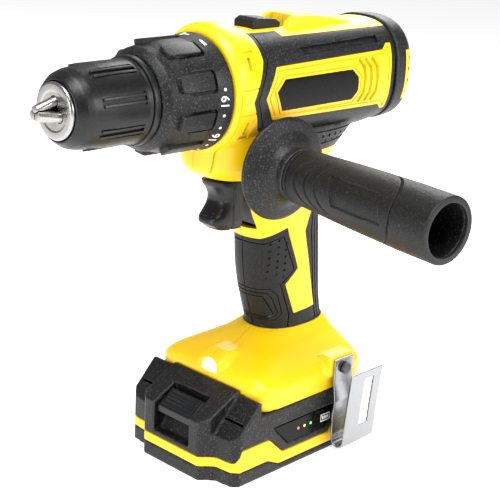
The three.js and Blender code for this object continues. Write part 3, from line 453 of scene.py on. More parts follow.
def metal(name, colour, roughness, streak_mm, stretch=(1, 1, 30)):
    """A metal whose fine machining marks run one way."""
    made, tree, principled = blank(name, Metallic=1.0)
    place = add_node(tree, "ShaderNodeTexCoord").outputs["Object"]
    mapped = add_node(tree, "ShaderNodeMapping", {"Scale": stretch}, {"Vector": place})
    marks = add_node(tree, "ShaderNodeTexNoise", {"Scale": 1 / (streak_mm * MM), "Detail": 5.0},
                     {"Vector": mapped.outputs["Vector"]})
    tone = add_node(tree, "ShaderNodeMixRGB", {"Color1": linear(colour), "Color2": linear("#ffffff")})
    share = add_node(tree, "ShaderNodeMapRange", {"From Min": 0.35, "From Max": 0.65, "To Max": 0.2},
                     {"Value": marks.outputs["Fac"]})
    tree.links.new(share.outputs["Result"], tone.inputs["Fac"])
    tree.links.new(tone.outputs["Color"], principled.inputs["Base Color"])
    spread = add_node(tree, "ShaderNodeMapRange", {"To Min": roughness * 0.7, "To Max": roughness * 1.3},
                      {"Value": marks.outputs["Fac"]})
    tree.links.new(spread.outputs["Result"], principled.inputs["Roughness"])
    bump = add_node(tree, "ShaderNodeBump", {"Distance": 0.01 * MM, "Strength": 0.3},
                    {"Height": marks.outputs["Fac"]})
    tree.links.new(bump.outputs["Normal"], principled.inputs["Normal"])
    return made


# %% [markdown]
# ## The drill's own materials
# The drill is mostly moulded plastic in two colours, with rubber where the hand goes and steel where it
# works. One recipe makes every plastic and one makes every metal, so only the numbers differ.

# %% The finishes of this drill
# Moulded ABS: a deep, even yellow with a soft sheen, and a painted highlight that makes its edges slightly
# paler.
yellow_abs = moulded("yellow_moulded_abs", "#fdcf00", "#f8c700", 0.36, 0.6, 0.03, 1.5, edge_highlight="#ffe95a")
# Glass-filled nylon: nearly black, with a grain whose sparkle is painted as pale glints, and a painted
# highlight on its edges. Real grain is about 0.1 mm; this is drawn coarser, so that it shows.
black_nylon = moulded("black_glass_filled_nylon", "#060607", "#0a0a0b", 0.42, 0.8, 0.4, 1.53,
                      edge_highlight="#5a5d60", glint="#58595b", Specular_IOR_Level=0.3)
# Moulded rubber: matt black with a soft grain, also drawn coarser than real, with painted glints and a
# painted highlight on its edges.
black_tpe = moulded("black_moulded_tpe_rubber", "#080808", "#0c0c0c", 0.5, 0.7, 0.3, 1.5,
                    edge_highlight="#505254", glint="#3a3b3a", Specular_IOR_Level=0.3)
# Nylon from a polished mould: black with a clearer highlight and hardly any grain, with faint painted glints
# and a painted highlight on its edges.
smooth_nylon = moulded("polished_black_nylon", "#050506", "#090909", 0.36, 0.9, 0.08, 1.53,
                       edge_highlight="#4b4e51", glint="#1c1d1e", Specular_IOR_Level=0.35)
# Acrylic label: deep, smooth and glossy.
gloss_label = moulded("gloss_black_acrylic_label", "#020202", "#030303", 0.25, 2.0, 0.004, 1.45,
                      Specular_IOR_Level=0.2)
# Steel from the lathe: bright, with fine marks round the axis.
turned_steel = metal("turned_bright_steel", "#9a9994", 0.24, 0.5, stretch=(30, 1, 1))
# Chromed spring steel: a clean, cool reflection with faint rolling marks.
chromed_steel = metal("chromed_spring_steel", "#8d8f92", 0.24, 0.8, stretch=(1, 1, 12))
# Black oxide on a screw: dark and a little dull.
black_oxide = metal("black_oxide_steel", "#3a3b3d", 0.35, 0.6)
# Varnished copper wire: warm, with marks that run along the windings.
copper_winding = metal("varnished_copper_winding", "#b4622f", 0.3, 0.4, stretch=(1, 20, 20))
# Pad-printed ink: flat, slightly warm white.
white_ink = moulded("white_pad_printed_ink", "#f2f2ee", "#e9e9e4", 0.5, 0.6, 0.002, 1.5)
# Shrunk PVC sleeve of a cell: smooth blue film.
cell_sleeve = moulded("blue_pvc_cell_sleeve", "#1f5f93", "#2a6ca0", 0.3, 1.0, 0.005, 1.54)
# Solder mask on a circuit board: glossy dark green.
solder_mask = moulded("green_solder_mask", "#14502b", "#1b5f34", 0.3, 1.2, 0.01, 1.5)


def glowing(name, colour, strength, edge, middle=(0, 0, 0), reach=1.0):
    """A lit lens: bright round a middle point, in millimetres, and tinted towards its edge."""
    made, tree, principled = blank(name, Roughness=0.15, IOR=1.49)
    place = add_node(tree, "ShaderNodeTexCoord").outputs["Object"]
    away = add_node(tree, "ShaderNodeVectorMath", {1: [v * MM for v in middle]}, {0: place},
                    operation="DISTANCE")
    fade = add_node(tree, "ShaderNodeMapRange", {"From Min": 0.35 * reach * MM, "From Max": reach * MM},
                    {"Value": away.outputs["Value"]})
    tone = add_node(tree, "ShaderNodeMixRGB", {"Color1": linear(colour), "Color2": linear(edge)},
                    {"Fac": fade.outputs["Result"]})
    tree.links.new(tone.outputs["Color"], principled.inputs["Emission Color"])
    tree.links.new(tone.outputs["Color"], principled.inputs["Base Color"])
    principled.inputs["Emission Strength"].default_value = strength
    return made


lit_lens = glowing("lit_polycarbonate_worklight", "#fffef4", 1.6, "#ffe25a", (27, 0, 51.5), 7.5)
LAMP_X, LAMP_Z = -1.0, 20.2
lit_green = glowing("lit_green_led", "#7dff8a", 2.0, "#1f9a33", (LAMP_X - 10, 41.1, LAMP_Z))
lit_amber = glowing("lit_amber_led", "#ffe26a", 2.0, "#d09010", (LAMP_X - 5, 41.1, LAMP_Z))
lit_red = glowing("lit_red_led", "#ff6a60", 2.0, "#b01c14", (LAMP_X, 41.1, LAMP_Z))


# %% [markdown]
# ## Settling a piece
# A finished piece needs a material, smooth shading with its sharp edges kept, the body that it moves
# with, and the CAD nodes that it stands for hidden. One function does all four.

# %% Settle a finished piece
def settle(piece, material, body, slot, *nodes, angle=32):
    """Gives a piece its finish and its body, and hides the CAD nodes that it stands for."""
    piece.data.materials.clear()
    piece.data.materials.append(material)
    pick(piece)
    bpy.ops.object.shade_smooth_by_angle(angle=math.radians(angle))
    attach(piece, body)
    if nodes:
        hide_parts(*nodes)
    return piece


def copied(node, name):
    """A merged copy of a CAD node, ready to be refined."""
    piece = twin(frame["nodes"][node], name)
    piece.parent = None
    for key in list(piece.keys()):
        del piece[key]
    pick(piece)
    edit(tidy_mesh)
    return piece


# %% [markdown]
# ## The camera and the light
# The camera stands at the drill's front left, a little above it. A white room with four big soft
# lamps gives broad highlights on the dark plastic.

# %% Camera
AZIMUTH, ELEVATION, ROLL = (math.radians(v) for v in (43.43, 18.05, 2.76))
DISTANCE, AIM_HEIGHT, FOCAL_LENGTH = 0.6793, 0.1105, 91.2
back = Vector((math.cos(AZIMUTH) * math.cos(ELEVATION), math.sin(AZIMUTH) * math.cos(ELEVATION),
               math.sin(ELEVATION)))
flat_right = (-back).cross(Vector((0, 0, 1))).normalized()
flat_up = flat_right.cross(-back)
right = flat_right * math.cos(ROLL) + flat_up * math.sin(ROLL)
up = flat_up * math.cos(ROLL) - flat_right * math.sin(ROLL)
bpy.ops.object.camera_add()
camera = bpy.context.object
camera.matrix_world = Matrix((right, up, back)).transposed().to_4x4()
camera.location = Vector((0, 0, AIM_HEIGHT)) + back * DISTANCE
camera.data.sensor_width = 36
camera.data.lens = FOCAL_LENGTH
bpy.context.scene.camera = camera
print("camera", round(DISTANCE / MM), "mm away with a", FOCAL_LENGTH, "mm lens")

# %% [markdown]
# ## Light and floor
# A product stands in a white room under large soft lamps. A sky picture could light it, but four area
# lamps are easier to place, and each one gives a broad, clean highlight.

# %% Light and floor
bpy.ops.mesh.primitive_plane_add(size=24)
floor = bpy.context.object
floor.name = "floor"
floor_paint, floor_tree, floor_shader = blank("matt_white_floor", Roughness=0.9)
floor_noise = add_node(floor_tree, "ShaderNodeTexNoise", {"Scale": 3.0})
floor_tone = add_node(floor_tree, "ShaderNodeMixRGB",
                      {"Color1": linear("#ffffff"), "Color2": linear("#fbfbfb")},
                      {"Fac": floor_noise.outputs["Fac"]})
floor_tree.links.new(floor_tone.outputs["Color"], floor_shader.inputs["Base Color"])
floor_shader.inputs["Emission Color"].default_value = linear("#ffffff")
floor_shader.inputs["Emission Strength"].default_value = 0.5
floor.data.materials.append(floor_paint)
floor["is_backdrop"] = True

world = bpy.data.worlds.new("studio")
world.use_nodes = True
world.node_tree.nodes["Background"].inputs["Color"].default_value = linear("#ffffff")
world.node_tree.nodes["Background"].inputs["Strength"].default_value = 0.34
bpy.context.scene.world = world


def lamp(name, place, size, power):
    bpy.ops.object.light_add(type="AREA", location=place)
    light = bpy.context.object
    light.name = name
    light.data.size = size
    light.data.energy = power
    light.rotation_euler = (Vector((0, 0, 0.12)) - Vector(place)).to_track_quat("-Z", "Y").to_euler()
    return light


lamp("key_from_above", (0.35, 0.25, 1.25), 0.7, 19)
lamp("fill_from_left", (-0.35, 1.15, 0.55), 0.5, 8)
lamp("front_from_chuck", (1.2, 0.0, 0.35), 0.4, 5)
lamp("rim_from_rear", (-0.9, -0.5, 0.8), 0.6, 8)
bpy.context.scene.view_settings.view_transform = "Standard"
print("four soft lamps over a white floor")

# %% [markdown]
# ## The housing
# Two yellow ABS shells meet at the middle plane. On the real drill each is moulded hollow. Here the
# barrel, grip, chin and foot are rolled as rings, melted into one skin, then cut: the hollows, the
# trigger's mouth, the rail pocket, the vents and the seat of the rubber.

# %% Ring tables of the housing
HALF, RISE, DROP = 27.5, 29.0, 29.5
BARREL = [
    (HOUSING_REAR, HALF - 0.6, RISE, DROP - 3, 2.7), (HOUSING_REAR + 20, HALF, RISE, DROP - 1, 2.7),
    (-25, HALF, RISE, DROP, 2.7), (8, HALF, RISE, DROP, 2.6), (22, HALF + 0.2, RISE + 0.6, DROP, 2.4),
    (28, HALF + 1.4, RISE + 3.4, DROP + 1.5, 2.2), (39, HALF + 2.6, RISE + 4.2, DROP + 2, 2.1),
    (HOUSING_FRONT, HALF + 1.2, RISE + 1.2, DROP, 2.05),
]
GRIP = [
    (54, -6, -55, 18, 2.5), (62, -7, -54.5, 17, 2.4), (70, -4, -52.6, 16.4, 2.3), (80, -0.6, -51, 16.4, 2.3),
    (92, 3, -49.8, 16.7, 2.3), (106, 5.4, -48.4, 17, 2.3), (118, 6.4, -47.3, 17, 2.3),
    (126, 8.5, -46.3, 17.5, 2.3), (134, 12, -45, 18.6, 2.4), (144, 15, -44, 20, 2.5),
    (154, 18, -45, 21.2, 2.5), (162, 22, -49.5, 22.4, 2.5), (170, 26, -57, 24, 2.6),
    (180, 30, -68, 25.5, 2.7),
]
CHIN = [(155, 31, -12, 15.5, 2.4), (158, 39, -12, 17, 2.5), (162.5, 44.3, -12, 19.5, 2.4),
        (170, 44.5, -12, 23, 2.3),
        (180, 44.5, -12, 25.5, 2.3)]
EDGE = FOOT_BOTTOM + 10
FOOT = [
    (FOOT_BOTTOM, 28.2, -56, 40.8, 9), (EDGE, 28.2, -56, 40.8, 9), (EDGE + 4.5, 26.7, -55.5, 37.4, 8),
    (EDGE + 10, 16.2, -55.2, 28.8, 5.5), (EDGE + 15, 5.2, -55, 21.3, 3.8),
    (EDGE + 20, -3.3, -54.4, 17.4, 2.5),
]
LED_HUMP = [(EDGE - 1, 28.2, 6, 12, 6), (EDGE + 8, 27.6, 5, 9.6, 5), (EDGE + 13, 20.5, 4, 7, 4)]
RUBBER, WALL, GAP = 2.0, 2.4, 0.3
BORE_RADIUS = 23.6      # the room for motor and gearbox
PLATE = 1.0             # thickness of the label plate

# %% One skin from the rings
skin = along_barrel("housing_skin", BARREL)
parts = [
    up_grip("grip_rings", GRIP), up_grip("chin_rings", CHIN), up_grip("foot_rings", FOOT, step=1.0),
    up_grip("led_rings", LED_HUMP, step=0.8),
    block("top_hump", [(-9, AXIS_Z + 24), (-9, AXIS_Z + 31), (-14, AXIS_Z + 34), (-25, AXIS_Z + 34.2),
                       (-45, AXIS_Z + 31.5), (-60, AXIS_Z + 28.4), (-60, AXIS_Z + 24)], -11, 11),
    slab("clip_pad", -42, -22, 34, 43.1, EDGE - 2, EDGE + 9.5),
]
for part in parts:
    combine(skin, part, "UNION")
soften(skin, 0.9, 6)
print("housing skin:", len(skin.data.polygons), "faces")

# %% [markdown]
# ## Outlines of rubber and label
# A black band frames a yellow window with the label in it, and a second zone covers the grip. Each is
# one closed outline in X and Z, which could also be traced as a curve.
# The rubber lies flush in the yellow shell. Its zone is everything within two millimetres of the
# skin and inside an outline in the side view, so one set of outlines cuts the seat and the rubber.

# %% Outlines in the side view
BAND = [
    (23, 230), (23, AXIS_Z + 16.5), (32.7, AXIS_Z - 2.3), (24.7, AXIS_Z - 17), (10, AXIS_Z - 28),
    (-20, AXIS_Z - 34.5), (-52, AXIS_Z - 34.5), (HOUSING_REAR - 5, AXIS_Z - 22),
    (HOUSING_REAR - 5, AXIS_Z + 25.5), (2, AXIS_Z + 25.5), (2, 230),
]
WINDOW = [
    (22.9, AXIS_Z - 2.1), (14.7, AXIS_Z + 13.2), (-68, AXIS_Z + 15), (-72, AXIS_Z + 18), (-76, AXIS_Z + 18),
    (-76, AXIS_Z - 18), (-72, AXIS_Z - 18), (-68, AXIS_Z - 15), (16.3, AXIS_Z - 13.5),
]
GRIP_ZONE = [
    (22, 121), (3, 119.5), (-10.4, 125), (-20.3, 100.6), (-12.2, 92.6), (-20.1, 74), (-37.4, 75.1),
    (-25, 121), (-29, 134), (-62, 140), (-62, EDGE + 20.6), (22, EDGE + 20.6),
]
LABEL = [
    (14.3, AXIS_Z + 0.5), (9, AXIS_Z + 6.3), (-42.4, AXIS_Z + 6.5), (-47.8, AXIS_Z + 2), (-47.8, AXIS_Z - 5),
    (-43.4, AXIS_Z - 9), (10, AXIS_Z - 9),
]
REACH = 60


cores = {}


def core(shrink):
    """The barrel and grip, shrunk: what lies under the rubber."""
    if shrink not in cores:
        inner = along_barrel("core", BARREL, -shrink)
        cores[shrink] = combine(inner, up_grip("core_grip", GRIP, -shrink), "UNION")
    return twin(cores[shrink], "core_twin")


def joined(name, pieces):
    """One object from several that don't touch."""
    pick(*pieces)
    bpy.ops.object.join()
    bpy.context.object.name = name
    return bpy.context.object


# %% Rubber pieces before the shell is cut
def rubber_zone(outline, window=None, grow=0.0):
    zone = block("zone", grown(outline, grow), -REACH, REACH)
    if window:
        combine(zone, block("window", grown(window, -grow), -REACH - 1, REACH + 1))
    return zone


def side_groove(piece, tool, depth):
    """Cuts a side-view wall into a piece, but only to a depth under the skin."""
    shallow = combine(tool, core(depth))
    return combine(piece, shallow)


band = combine(twin(skin, "band"), rubber_zone(BAND, WINDOW), "INTERSECT")
combine(band, core(RUBBER))
combine(band, slab("top_gap", -200, 200, -11.5, 11.5, AXIS_Z + 20, 300))
combine(band, rubber_zone(GRIP_ZONE, grow=GAP))
grip_skin = combine(twin(skin, "grip_skin"), rubber_zone(GRIP_ZONE), "INTERSECT")
combine(grip_skin, core(RUBBER))
print("barrel rubber:", len(band.data.polygons), "faces, grip rubber:", len(grip_skin.data.polygons))

# %% Seat of the rubber in the shell
seat = combine(rubber_zone(BAND, WINDOW, GAP), rubber_zone(GRIP_ZONE, grow=GAP), "UNION")
combine(seat, core(RUBBER + GAP))
combine(seat, slab("top_gap", -200, 200, -11.2, 11.2, AXIS_Z + 20, 300))
shell = combine(twin(skin, "shell"), seat)
combine(shell, up_grip("grip_hollow", GRIP[:-1], -RUBBER - WALL, around=48, step=4))
foot_hollow = up_grip("foot_hollow", FOOT[1:], -WALL, around=48, step=3)
combine(foot_hollow, slab("foot_room", -56, 28, -60, 60, EDGE + 1.4, EDGE + 12), "INTERSECT")
combine(shell, foot_hollow)
combine(shell, rod("barrel_bore", BORE_RADIUS, (HOUSING_REAR - 1, 0, AXIS_Z), (HOUSING_FRONT + 1, 0, AXIS_Z),
                   64))
combine(shell, slab("rail_neck", -53, 33, -24.3, 24.3, FOOT_BOTTOM - 1, FOOT_BOTTOM + 2.8))
combine(shell, slab("rail_head", -53, 33, -28.3, 28.3, FOOT_BOTTOM + 2.5, FOOT_BOTTOM + 7.3))
combine(shell, slab("trigger_mouth", -1, 60, -9.3, 9.3, 125.6, 154.9))
bar_low, bar_high = box_mm("direction_bar")
combine(shell, slab("bar_slot", bar_low[0] - GAP, bar_high[0] + GAP, -60, 60, bar_low[2] - GAP,
                    bar_high[2] + GAP))
combine(shell, slab("selector_slot", -16, 13, -7.3, 7.3, AXIS_Z + 20, AXIS_Z + 40))
LENS_OUTLINE = [(-5.2, EDGE + 2.2), (5.2, EDGE + 2.2), (5.6, EDGE + 5), (4.4, EDGE + 7.6), (2.2, EDGE + 8.7),
                (-2.2, EDGE + 8.7),
        (-4.4, EDGE + 7.6), (-5.6, EDGE + 5)]
combine(shell, block("led_pocket", grown(LENS_OUTLINE, GAP), 15.6, 40, "x"))
print("cut shell:", len(shell.data.polygons), "faces")

# %% [markdown]
# ## Pocket, vents and screw wells
# The side handle screws into a bush behind the collar. Its axis leans a little forwards and down. The
# openings are cut one by one with simple closed tools, because each cut stays easy to change.

# %% Handle axis, insert pocket, vents and label seat
SWEEP, TILT = math.radians(5.25), math.radians(1.9)
POCKET_RADIUS = 7.3
VENT_HEIGHTS = (12.5, -18.8)      # over and under the spindle's axis
handle_axis = Vector((math.sin(SWEEP) * math.cos(TILT), math.cos(SWEEP) * math.cos(TILT), -math.sin(TILT)))
HANDLE_START = Vector((11.1, 0, AXIS_Z - 35.8))
pocket = rod("insert_pocket", POCKET_RADIUS, HANDLE_START + handle_axis * 9.7,
             HANDLE_START + handle_axis * 60)
combine(shell, twin(pocket, "shell_pocket"))
combine(band, pocket)
combine(shell, combine(block("label_seat", grown(LABEL, GAP), -REACH, REACH), core(PLATE + GAP)))
for z in VENT_HEIGHTS:
    combine(shell, slab("vent", 32.4, 34.6, -REACH, REACH, AXIS_Z + z, AXIS_Z + z + 6.5, 0.4))
combine(shell, rod("clip_hole", 1.8, (-32.3, 30, 48.2), (-32.3, 50, 48.2)))
SCREWS = [(-64, AXIS_Z - 22.3, -10), (36.5, AXIS_Z - 35.5, -12), (-24, 82, -10)]
for x, z, seat_y in SCREWS:
    for piece in (shell, band, grip_skin):
        combine(piece, rod("screw_well", 3.3, (x, -REACH, z), (x, seat_y, z)))

# %% [markdown]
# ## Lines in the shell and the rubber
# Shallow grooves are cut by thin walls that follow the outlines. Each wall keeps only its part near
# the skin, so the cut has the same depth all over a curved side.

# %% Grooves of the barrel
side_groove(shell, line_ring("panel_line", grown(WINDOW, -2.4), 0.8, -REACH, REACH), 0.6)
side_groove(shell, line_ring("label_line", grown(LABEL, 1.9), 0.8, -REACH, REACH), 0.6)
for z, tall in ((9.5, 12.5), (-21, 10)):
    foot, head = AXIS_Z + z, AXIS_Z + z + tall
    recess = block("vent_recess", [(30.2, foot), (37.6, foot), (36.4, head), (29.6, head)], -REACH, REACH)
    side_groove(shell, recess, 0.8)
steps = [slab("collar_step", 41.1, 41.8, -REACH, REACH, AXIS_Z - 40, AXIS_Z + 40)]
for rear, low, high in ((24, AXIS_Z + 4, AXIS_Z + 4.9), (29, AXIS_Z - 8.5, AXIS_Z - 7.6)):
    steps.append(block("collar_line", [(rear, low), (41, low), (41, high), (rear, high)], -REACH, REACH))
for step in steps:
    side_groove(shell, step, 0.45)
CHEVRONS, CHEVRON_PITCH = 3, 5.2
chevrons = []
for i in range(CHEVRONS):
    x = -53.4 - CHEVRON_PITCH * i
    points = [(x + 5.5, AXIS_Z + 11.6), (x + 1, AXIS_Z + 6.5), (x, AXIS_Z), (x + 0.6, AXIS_Z - 6.5),
              (x + 4.4, AXIS_Z - 11.4)]
    chevrons.append(strip("chevron", points, 2.3, -REACH, REACH))
side_groove(shell, joined("chevrons", chevrons), 2.0)
edge_line = [(20.2, 230), (20.2, AXIS_Z + 16), (29.4, AXIS_Z - 2.2), (22, AXIS_Z - 15.5),
             (8.6, AXIS_Z - 25.3), (-19, AXIS_Z - 31.3)]
side_groove(band, strip("edge_line", edge_line, 0.8, -REACH, REACH), 0.6)
top_recess = [(-6, AXIS_Z + 16.9), (-66, AXIS_Z + 18.6), (-66, AXIS_Z + 22), (-4, AXIS_Z + 20.5)]
side_groove(band, block("top_recess", top_recess, -REACH, REACH), 1.2)
lower_line = [(6, AXIS_Z - 20.5), (-14, AXIS_Z - 24.5), (-50, AXIS_Z - 24.5), (-58, AXIS_Z - 26),
              (-54, AXIS_Z - 30), (-24, AXIS_Z - 31)]
side_groove(band, strip("lower_line", lower_line, 1.0, -REACH, REACH), 0.6)
DOTS_IN_ROW, DOT_PITCH = 7, 5.4
dots = []
for row, z in enumerate((-27.3, -30.2)):
    for i in range(DOTS_IN_ROW):
        x = -20 - DOT_PITCH * i - DOT_PITCH / 2 * row
        dots.append(rod("dot", 0.9, (x, -REACH, AXIS_Z + z), (x, REACH, AXIS_Z + z), 16))
side_groove(band, joined("dots", dots), 0.6)
print(len(chevrons), "chevrons and", len(dots), "dots")

# %% Grooves of the grip
pad_edge = [(19, 119), (1.5, 116.8), (-8.6, 120.4), (-17.6, 100.4), (-9.4, 92.8), (-17, 74), (-17, 60)]
side_groove(grip_skin, strip("pad_edge", pad_edge, 0.9, -REACH, REACH), 0.7)
for shift in (0, 2.2, 4.4):
    loop = [(30, 90.5 - shift), (-4 + shift / 2, 90.5 - shift), (-8.5 + shift, 86.5 - shift),
            (-12.5 + shift, 75.5),
            (-10 + shift, 71.5 + shift / 2), (30, 71.5 + shift / 2)]
    side_groove(grip_skin, strip("contour", loop, 0.7, -REACH, REACH), 0.65)
BACK_RIDGES, BACK_PITCH = 4, 2.9
for i in range(BACK_RIDGES):
    x = -35.5 - BACK_PITCH * i
    points = [(x - 4, 66), (x - 1.5, 76), (x + 1, 92), (x + 4.5, 118), (x + 5.5, 134)]
    side_groove(grip_skin, strip("back_ridge", points, 1.1, -REACH, REACH), 0.8)
DIMPLE_ROWS, DIMPLE_COLUMNS, ROW_PITCH, COLUMN_PITCH = 6, 3, 3.8, 4.6
dimples = []
for row in range(DIMPLE_ROWS):
    for column in range(DIMPLE_COLUMNS):
        x, z = -1.5 - COLUMN_PITCH * column, 97.5 + ROW_PITCH * row + ROW_PITCH / 2 * (column % 2)
        dimples.append(rod("dimple", 0.8, (x, -REACH, z), (x, REACH, z), 12))
side_groove(grip_skin, joined("dimples", dimples), 0.6)
side_groove(grip_skin, slab("front_seam", -20, 40, -0.3, 0.3, 60, 125), 0.5)
print(len(dimples), "dimples in the grip")

# %% [markdown]
# ## Two halves
# The real shells meet at a fine line down the middle. A Mirror modifier could make one half from the
# other, but the screw wells are only on the right, so the whole body is cut in two instead.

# %% Split the housing and the rubber at the middle plane
NODES = {shell: "housing", band: "barrel_rubber", grip_skin: "grip_rubber"}
for side, low, high in (("left", 0.15, 100), ("right", -100, -0.15)):
    for source, finish, slot in ((shell, yellow_abs, "yellow_plastic"), (band, black_nylon, "black_rubber"),
                                 (grip_skin, black_tpe, "black_rubber")):
        node = NODES[source] + "_" + side
        half = combine(twin(source, node + "_skin"), slab("space", -200, 200, low, high, -10, 300),
                       "INTERSECT")
        settle(half, finish, "housing", slot, node)
    plate = combine(twin(skin, "label_plate_skin_" + side), slab("space", -200, 200, low, high, -10, 300),
                    "INTERSECT")
    combine(plate, block("label", rounded(LABEL + LABEL[:1], 2)[:-1], -REACH, REACH), "INTERSECT")
    combine(plate, core(PLATE))
    settle(plate, gloss_label, "housing", "black_label", "label_plate_" + side)
for used in (shell, band, grip_skin, skin, *cores.values()):
    bpy.data.objects.remove(used)

# %% [markdown]
# ## Rear cap
# The cap carries on the barrel's rings and closes them. Two yellow inserts with air slots fill its
# side windows.

# %% Cap and inserts
CAP = [
    (HOUSING_REAR - 0.3, HALF + 0.4, RISE + 1.2, DROP - 2, 2.6),
    (HOUSING_REAR - 10.2, HALF, RISE + 0.8, DROP - 2.5, 2.5),
    (HOUSING_REAR - 15.7, HALF - 3.5, RISE - 3, DROP - 6, 2.4),
    (HOUSING_REAR - 18.5, HALF - 11, RISE - 10, DROP - 13, 2.2),
]
cap = along_barrel("cap_skin", CAP, step=1.0)
soften(cap, 0.8, 3)
combine(cap, along_barrel("cap_hollow", CAP[:-1], -2.4))
combine(cap, rod("cap_bore", BORE_RADIUS, (HOUSING_REAR - 3, 0, AXIS_Z), (HOUSING_REAR + 1, 0, AXIS_Z), 64))
vents = twin(cap, "vents")
SLOTS, SLOT_PITCH = 4, 6.2
for side in (-1, 1):
    window = sorted((side * 11.7, side * REACH))
    combine(cap, slab("window", HOUSING_REAR - 17.3, HOUSING_REAR - 7.7, *window, AXIS_Z - 14.3,
                      AXIS_Z + 13.3, 0.5))
    window = sorted((side * 12, side * REACH))
    insert = combine(twin(vents, "vent_insert"), slab("zone", HOUSING_REAR - 17, HOUSING_REAR - 8, *window,
                                                      AXIS_Z - 14, AXIS_Z + 13, 0.5), "INTERSECT")
    for i in range(SLOTS):
        z = AXIS_Z - 11 + SLOT_PITCH * i
        combine(insert, slab("slot", HOUSING_REAR - 15, HOUSING_REAR - 10, *window, z, z + 2.4, 0.5))
    settle(insert, yellow_abs, "housing", "yellow_plastic",
           "rear_vent_left" if side > 0 else "rear_vent_right")
bpy.data.objects.remove(vents)
for x in (-93.5, -96.5):
    combine(cap, combine(slab("line", x - 0.3, x + 0.3, -REACH, REACH, 0, 300),
                         along_barrel("keep", CAP, -0.4)))
settle(cap, black_nylon, "housing", "black_plastic", "rear_cap")
print("rear cap:", len(cap.data.polygons), "faces")

# %% [markdown]
# ## Torque collar and chuck
# Both are turned parts. The collar has raised ribs with a groove round each rear end, and white
# numbers with dots between them. The chuck's sleeve has grooved bars between plain lands.

# %% Torque collar
REAR, FRONT, COLLAR = 45.7, 85.0, 27.1
collar = turned("collar", [
    (REAR, COLLAR - 3.3), (REAR, COLLAR + 1.6), (REAR + 1.8, COLLAR + 1.9), (REAR + 11.3, COLLAR),
    (66.5, COLLAR), (72.2, COLLAR - 0.5), (77.9, COLLAR - 1.9), (81.7, COLLAR - 2.4), (FRONT, COLLAR - 5.4),
    (FRONT, 17.7), (FRONT - 3, 17.7), (FRONT - 6, COLLAR - 6.5), (REAR + 12, COLLAR - 3.3),
    (REAR, COLLAR - 3.3),
], 160, 0.8)


def round_spindle(piece, angles):
    """Copies a piece that was made upright, lays each copy over the spindle and joins them."""
    copies = []
    for degrees in angles:
        one = twin(piece, piece.name)
        turn = Matrix.Rotation(math.radians(degrees), 4, "X")
        one.matrix_world = Matrix.Translation((0, 0, AXIS_Z * MM)) @ turn
        copies.append(to_origin(one, piece.name))
    bpy.data.objects.remove(piece)
    return joined("round_spindle", copies)


RIBS = 9
rib_angles = [360 * i / RIBS + 12 for i in range(RIBS)]
moat_outline = rounded([(54.8, -5.8), (72, -5.8), (72, 5.8), (54.8, 5.8), (54.8, -5.8)], 2.4)[:-1]
moat = block("moat", moat_outline, COLLAR - 1.7, COLLAR + 4, "z")
rib_outline = rounded([(56.7, -4.3), (77, -4.1), (77, 4.1), (56.7, 4.3), (56.7, -4.3)], 1.6)[:-1]
rib = block("rib", rib_outline, COLLAR - 4, COLLAR + 0.85, "z")
apply_modifier(rib, "BEVEL", width=0.5 * MM, segments=3, limit_method="ANGLE")
combine(collar, round_spindle(moat, rib_angles))
combine(collar, round_spindle(rib, rib_angles), "UNION")
settle(collar, black_nylon, "torque_collar", "black_plastic", "clutch_ring")
print("collar with", RIBS, "ribs:", len(collar.data.polygons), "faces")

# %% [markdown]
# ## Printed settings
# The collar carries plain white numbers, with dots between. A curve modifier could bend them. Here each
# vertex is moved onto the collar, so that the ink stands a few hundredths of a millimetre proud.

# %% Numbers and dots on the collar
INK_X, INK_RADIUS, INK_FALL = 51.2, 28.26, 0.2     # the collar gets thinner forwards by this share
INK_LIFT, INK_DEPTH = 0.07, -0.2
SETTINGS, STEP = 19, 13.6
DOT_RADIUS, INK_HALF = 0.75, 0.1


def on_collar(piece, degrees):
    """Wraps ink, made flat at the origin, round the collar at an angle from +Y towards +Z."""
    for vertex in piece.data.vertices:
        across, ahead, height = vertex.co / MM
        turn = math.radians(degrees) + across / INK_RADIUS
        radius = INK_RADIUS - INK_FALL * ahead + (INK_LIFT if height > 0 else INK_DEPTH)
        vertex.co = Vector((INK_X + ahead, radius * math.cos(turn), AXIS_Z + radius * math.sin(turn))) * MM
    return settle(piece, white_ink, "torque_collar", "black_plastic")


def ink_dot(degrees):
    on_collar(rod("dot", DOT_RADIUS, (0, 0, -INK_HALF), (0, 0, INK_HALF), 20), degrees)


for setting in range(1, SETTINGS + 1):
    degrees = STEP * (setting - SETTINGS)
    if setting % 3 == 1:
        bpy.ops.object.text_add()
        label = bpy.context.object
        label.data.body = str(setting)
        label.data.size = 6.4 * MM
        label.data.extrude = INK_HALF * MM
        label.data.offset = 0.06 * MM
        label.data.align_x, label.data.align_y = "CENTER", "CENTER"
        label.name = "number"
        pick(label)
        bpy.ops.object.convert(target="MESH")
        on_collar(bpy.context.object, degrees)
    else:
        ink_dot(degrees)
ink_dot(0.9 * STEP)
drill_mark = [(-2.6, -0.7), (1.2, -0.7), (2.6, 0), (1.2, 0.7), (-2.6, 0.7)]
on_collar(block("drill_mark", drill_mark, -INK_HALF, INK_HALF, "z"), 67)
hammer_mark = [(-2.8, -0.5), (0.6, -0.5), (0.6, -1.8), (2.2, -1.8), (2.2, 1.8), (0.6, 1.8), (0.6, 0.5),
               (-2.8, 0.5)]
on_collar(block("hammer_mark", hammer_mark, -INK_HALF, INK_HALF, "z"), 93)
print(SETTINGS, "settings,", STEP, "degrees apart")

# %% [markdown]
# ## The chuck's sleeve
# The hand turns this sleeve to close the jaws. Its bars sit in grooves. They could be extruded from its
# faces, but here one groove and its pair of bars are made once and copied round the axis.

